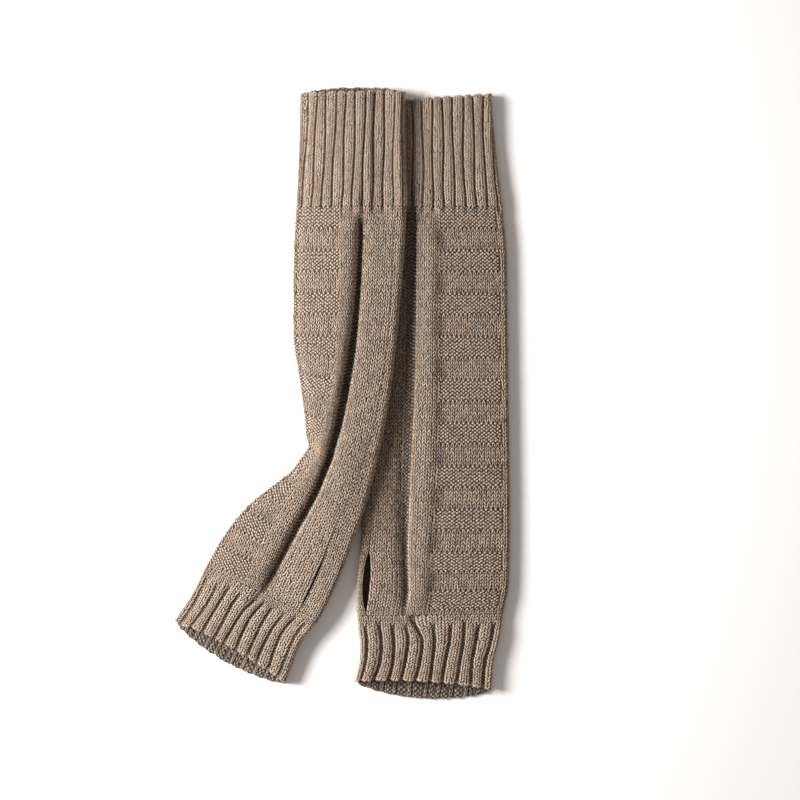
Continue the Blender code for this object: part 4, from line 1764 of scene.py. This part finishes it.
@dataclass
class Studio:
    """The floor, the lights and the camera.

    Attributes:
        floor_size: length of the floor's sides.
        floor_drop: how far it lies under the pair.
        floor_grey: how light it is.
        floor_roughness: how matt it is.
        sky: strength of the sky.
        sky_colour: its colour.
        key_direction: where the lamp is, from the middle of the pair.
        key_distance: how far away it is.
        key_size: its diameter.
        key_power: its power in watts.
    """

    floor_size: float = 4.0
    floor_drop: float = 0.0002
    floor_grey: float = 0.93
    floor_roughness: float = 0.9
    sky: float = 0.36
    sky_colour: tuple[float, float, float] = (1.0, 0.89, 0.83)
    key_direction: tuple[float, float, float] = (-0.85, 0.12, 0.53)
    key_distance: float = 0.85
    key_size: float = 0.56
    key_power: float = 24.0

    def build(self) -> None:
        """Make all of it."""
        self.floor()
        self.light()
        self.camera()
        bpy.context.scene.view_settings.view_transform = "Standard"

    def floor(self) -> None:
        """A plain pale floor."""
        bpy.ops.object.select_all(action="DESELECT")
        bpy.ops.mesh.primitive_plane_add(size=self.floor_size, location=(0.0, 0.0, -self.floor_drop))
        floor = bpy.context.object
        floor.name = "floor"
        bpy.ops.object.transform_apply(location=True, rotation=True, scale=True)
        floor.data.materials.append(new_material("white_paper", {
            "Base Color": (*(self.floor_grey,) * 3, 1.0), "Roughness": self.floor_roughness,
            "Specular IOR Level": 0.0}))

    def light(self) -> None:
        """An even, slightly warm sky, and one soft lamp up on the left."""
        world = bpy.data.worlds.new("sky")
        world.use_nodes = True
        background = world.node_tree.nodes["Background"]
        background.inputs["Color"].default_value = (*self.sky_colour, 1.0)
        background.inputs["Strength"].default_value = self.sky
        bpy.context.scene.world = world
        lamp = bpy.data.lights.new("key", "AREA")
        lamp.shape = "DISK"
        lamp.size = self.key_size
        lamp.energy = self.key_power
        key = bpy.data.objects.new("key", lamp)
        direction = np.array(self.key_direction) / np.linalg.norm(self.key_direction)
        key.location = direction * self.key_distance
        yaw = math.atan2(direction[1], direction[0]) + math.pi / 2
        key.rotation_euler = (math.acos(direction[2]), 0.0, yaw)
        bpy.context.scene.collection.objects.link(key)

    def camera(self) -> None:
        """The camera, straight above."""
        data = bpy.data.cameras.new("camera")
        data.lens = CAMERA_LENS
        data.sensor_width = SENSOR
        camera = bpy.data.objects.new("camera", data)
        camera.location = (CAMERA_PLACE[0] * MM, CAMERA_PLACE[1] * MM, CAMERA_HEIGHT * MM)
        bpy.context.scene.collection.objects.link(camera)
        bpy.context.scene.camera = camera


def main() -> None:
    """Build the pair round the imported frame."""
    logging.basicConfig(level=logging.INFO, format="%(message)s")
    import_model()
    Studio().build()
    yarn = {"knitter": Knitter(seed=11, full=unit_strand(4, 3), light=unit_strand(3, 1)),
            "nap": Nap(seed=12, unit=unit_fibre())}
    arm = partial(Ribbing, wales=3, hidden=0.18, beyond=(-1.0, 0.0), rise=0.9, depth=1.2)
    hand = partial(Ribbing, wales=3, hidden=0.24, beyond=(3.5, 9.5), sway=0.6, late=1.3)
    right = Sleeve("right", -1, RIGHT_STATIONS, RIGHT_FOLDS, seam=73.5, slit=6.4, gape=5.2,
                   mouths=Mouths(arm_front=0.2, arm_back=0.5, hand_front=-3.6, hand_back=9.0),
                   panel=RIGHT_PANEL, roll=RIGHT_ROLL, shoulder=3.2, thumb_reach=3.2,
                   panel_painted_light=-0.08)
    left = Sleeve("left", 1, LEFT_STATIONS, LEFT_FOLDS, seam=76.0, slit=15.2, gape=1.4,
                  mouths=Mouths(arm_front=0.3, arm_back=5.2, hand_front=-3.4, hand_back=8.4),
                  panel=LEFT_PANEL, roll=LEFT_ROLL, shoulder=36.0, thumb_reach=4.2, panel_painted_light=0.05,
                  on_top_of=right)
    ArmWarmer(right, arm_ribs=arm(ribs=7, first=(5.6, 10.3), last=(17.5, 21.0), crease=7),
              hand_ribs=hand(ribs=8, first=(6.0, 5.0), last=(14.5, 13.0), rise=1.0, depth=1.6,
                             crease=5, bend=6.4), **yarn).build()
    ArmWarmer(left, arm_ribs=arm(ribs=9, first=(6.2, 4.5), last=(6.5, 9.0), crease=6, bend=-0.6),
              hand_ribs=hand(ribs=9, first=(5.0, 5.0), last=(6.0, 6.5), rise=0.9, depth=1.4,
                             crease=4, bend=4.4), below="right", **yarn).build()


if __name__ == "__main__":
    main()
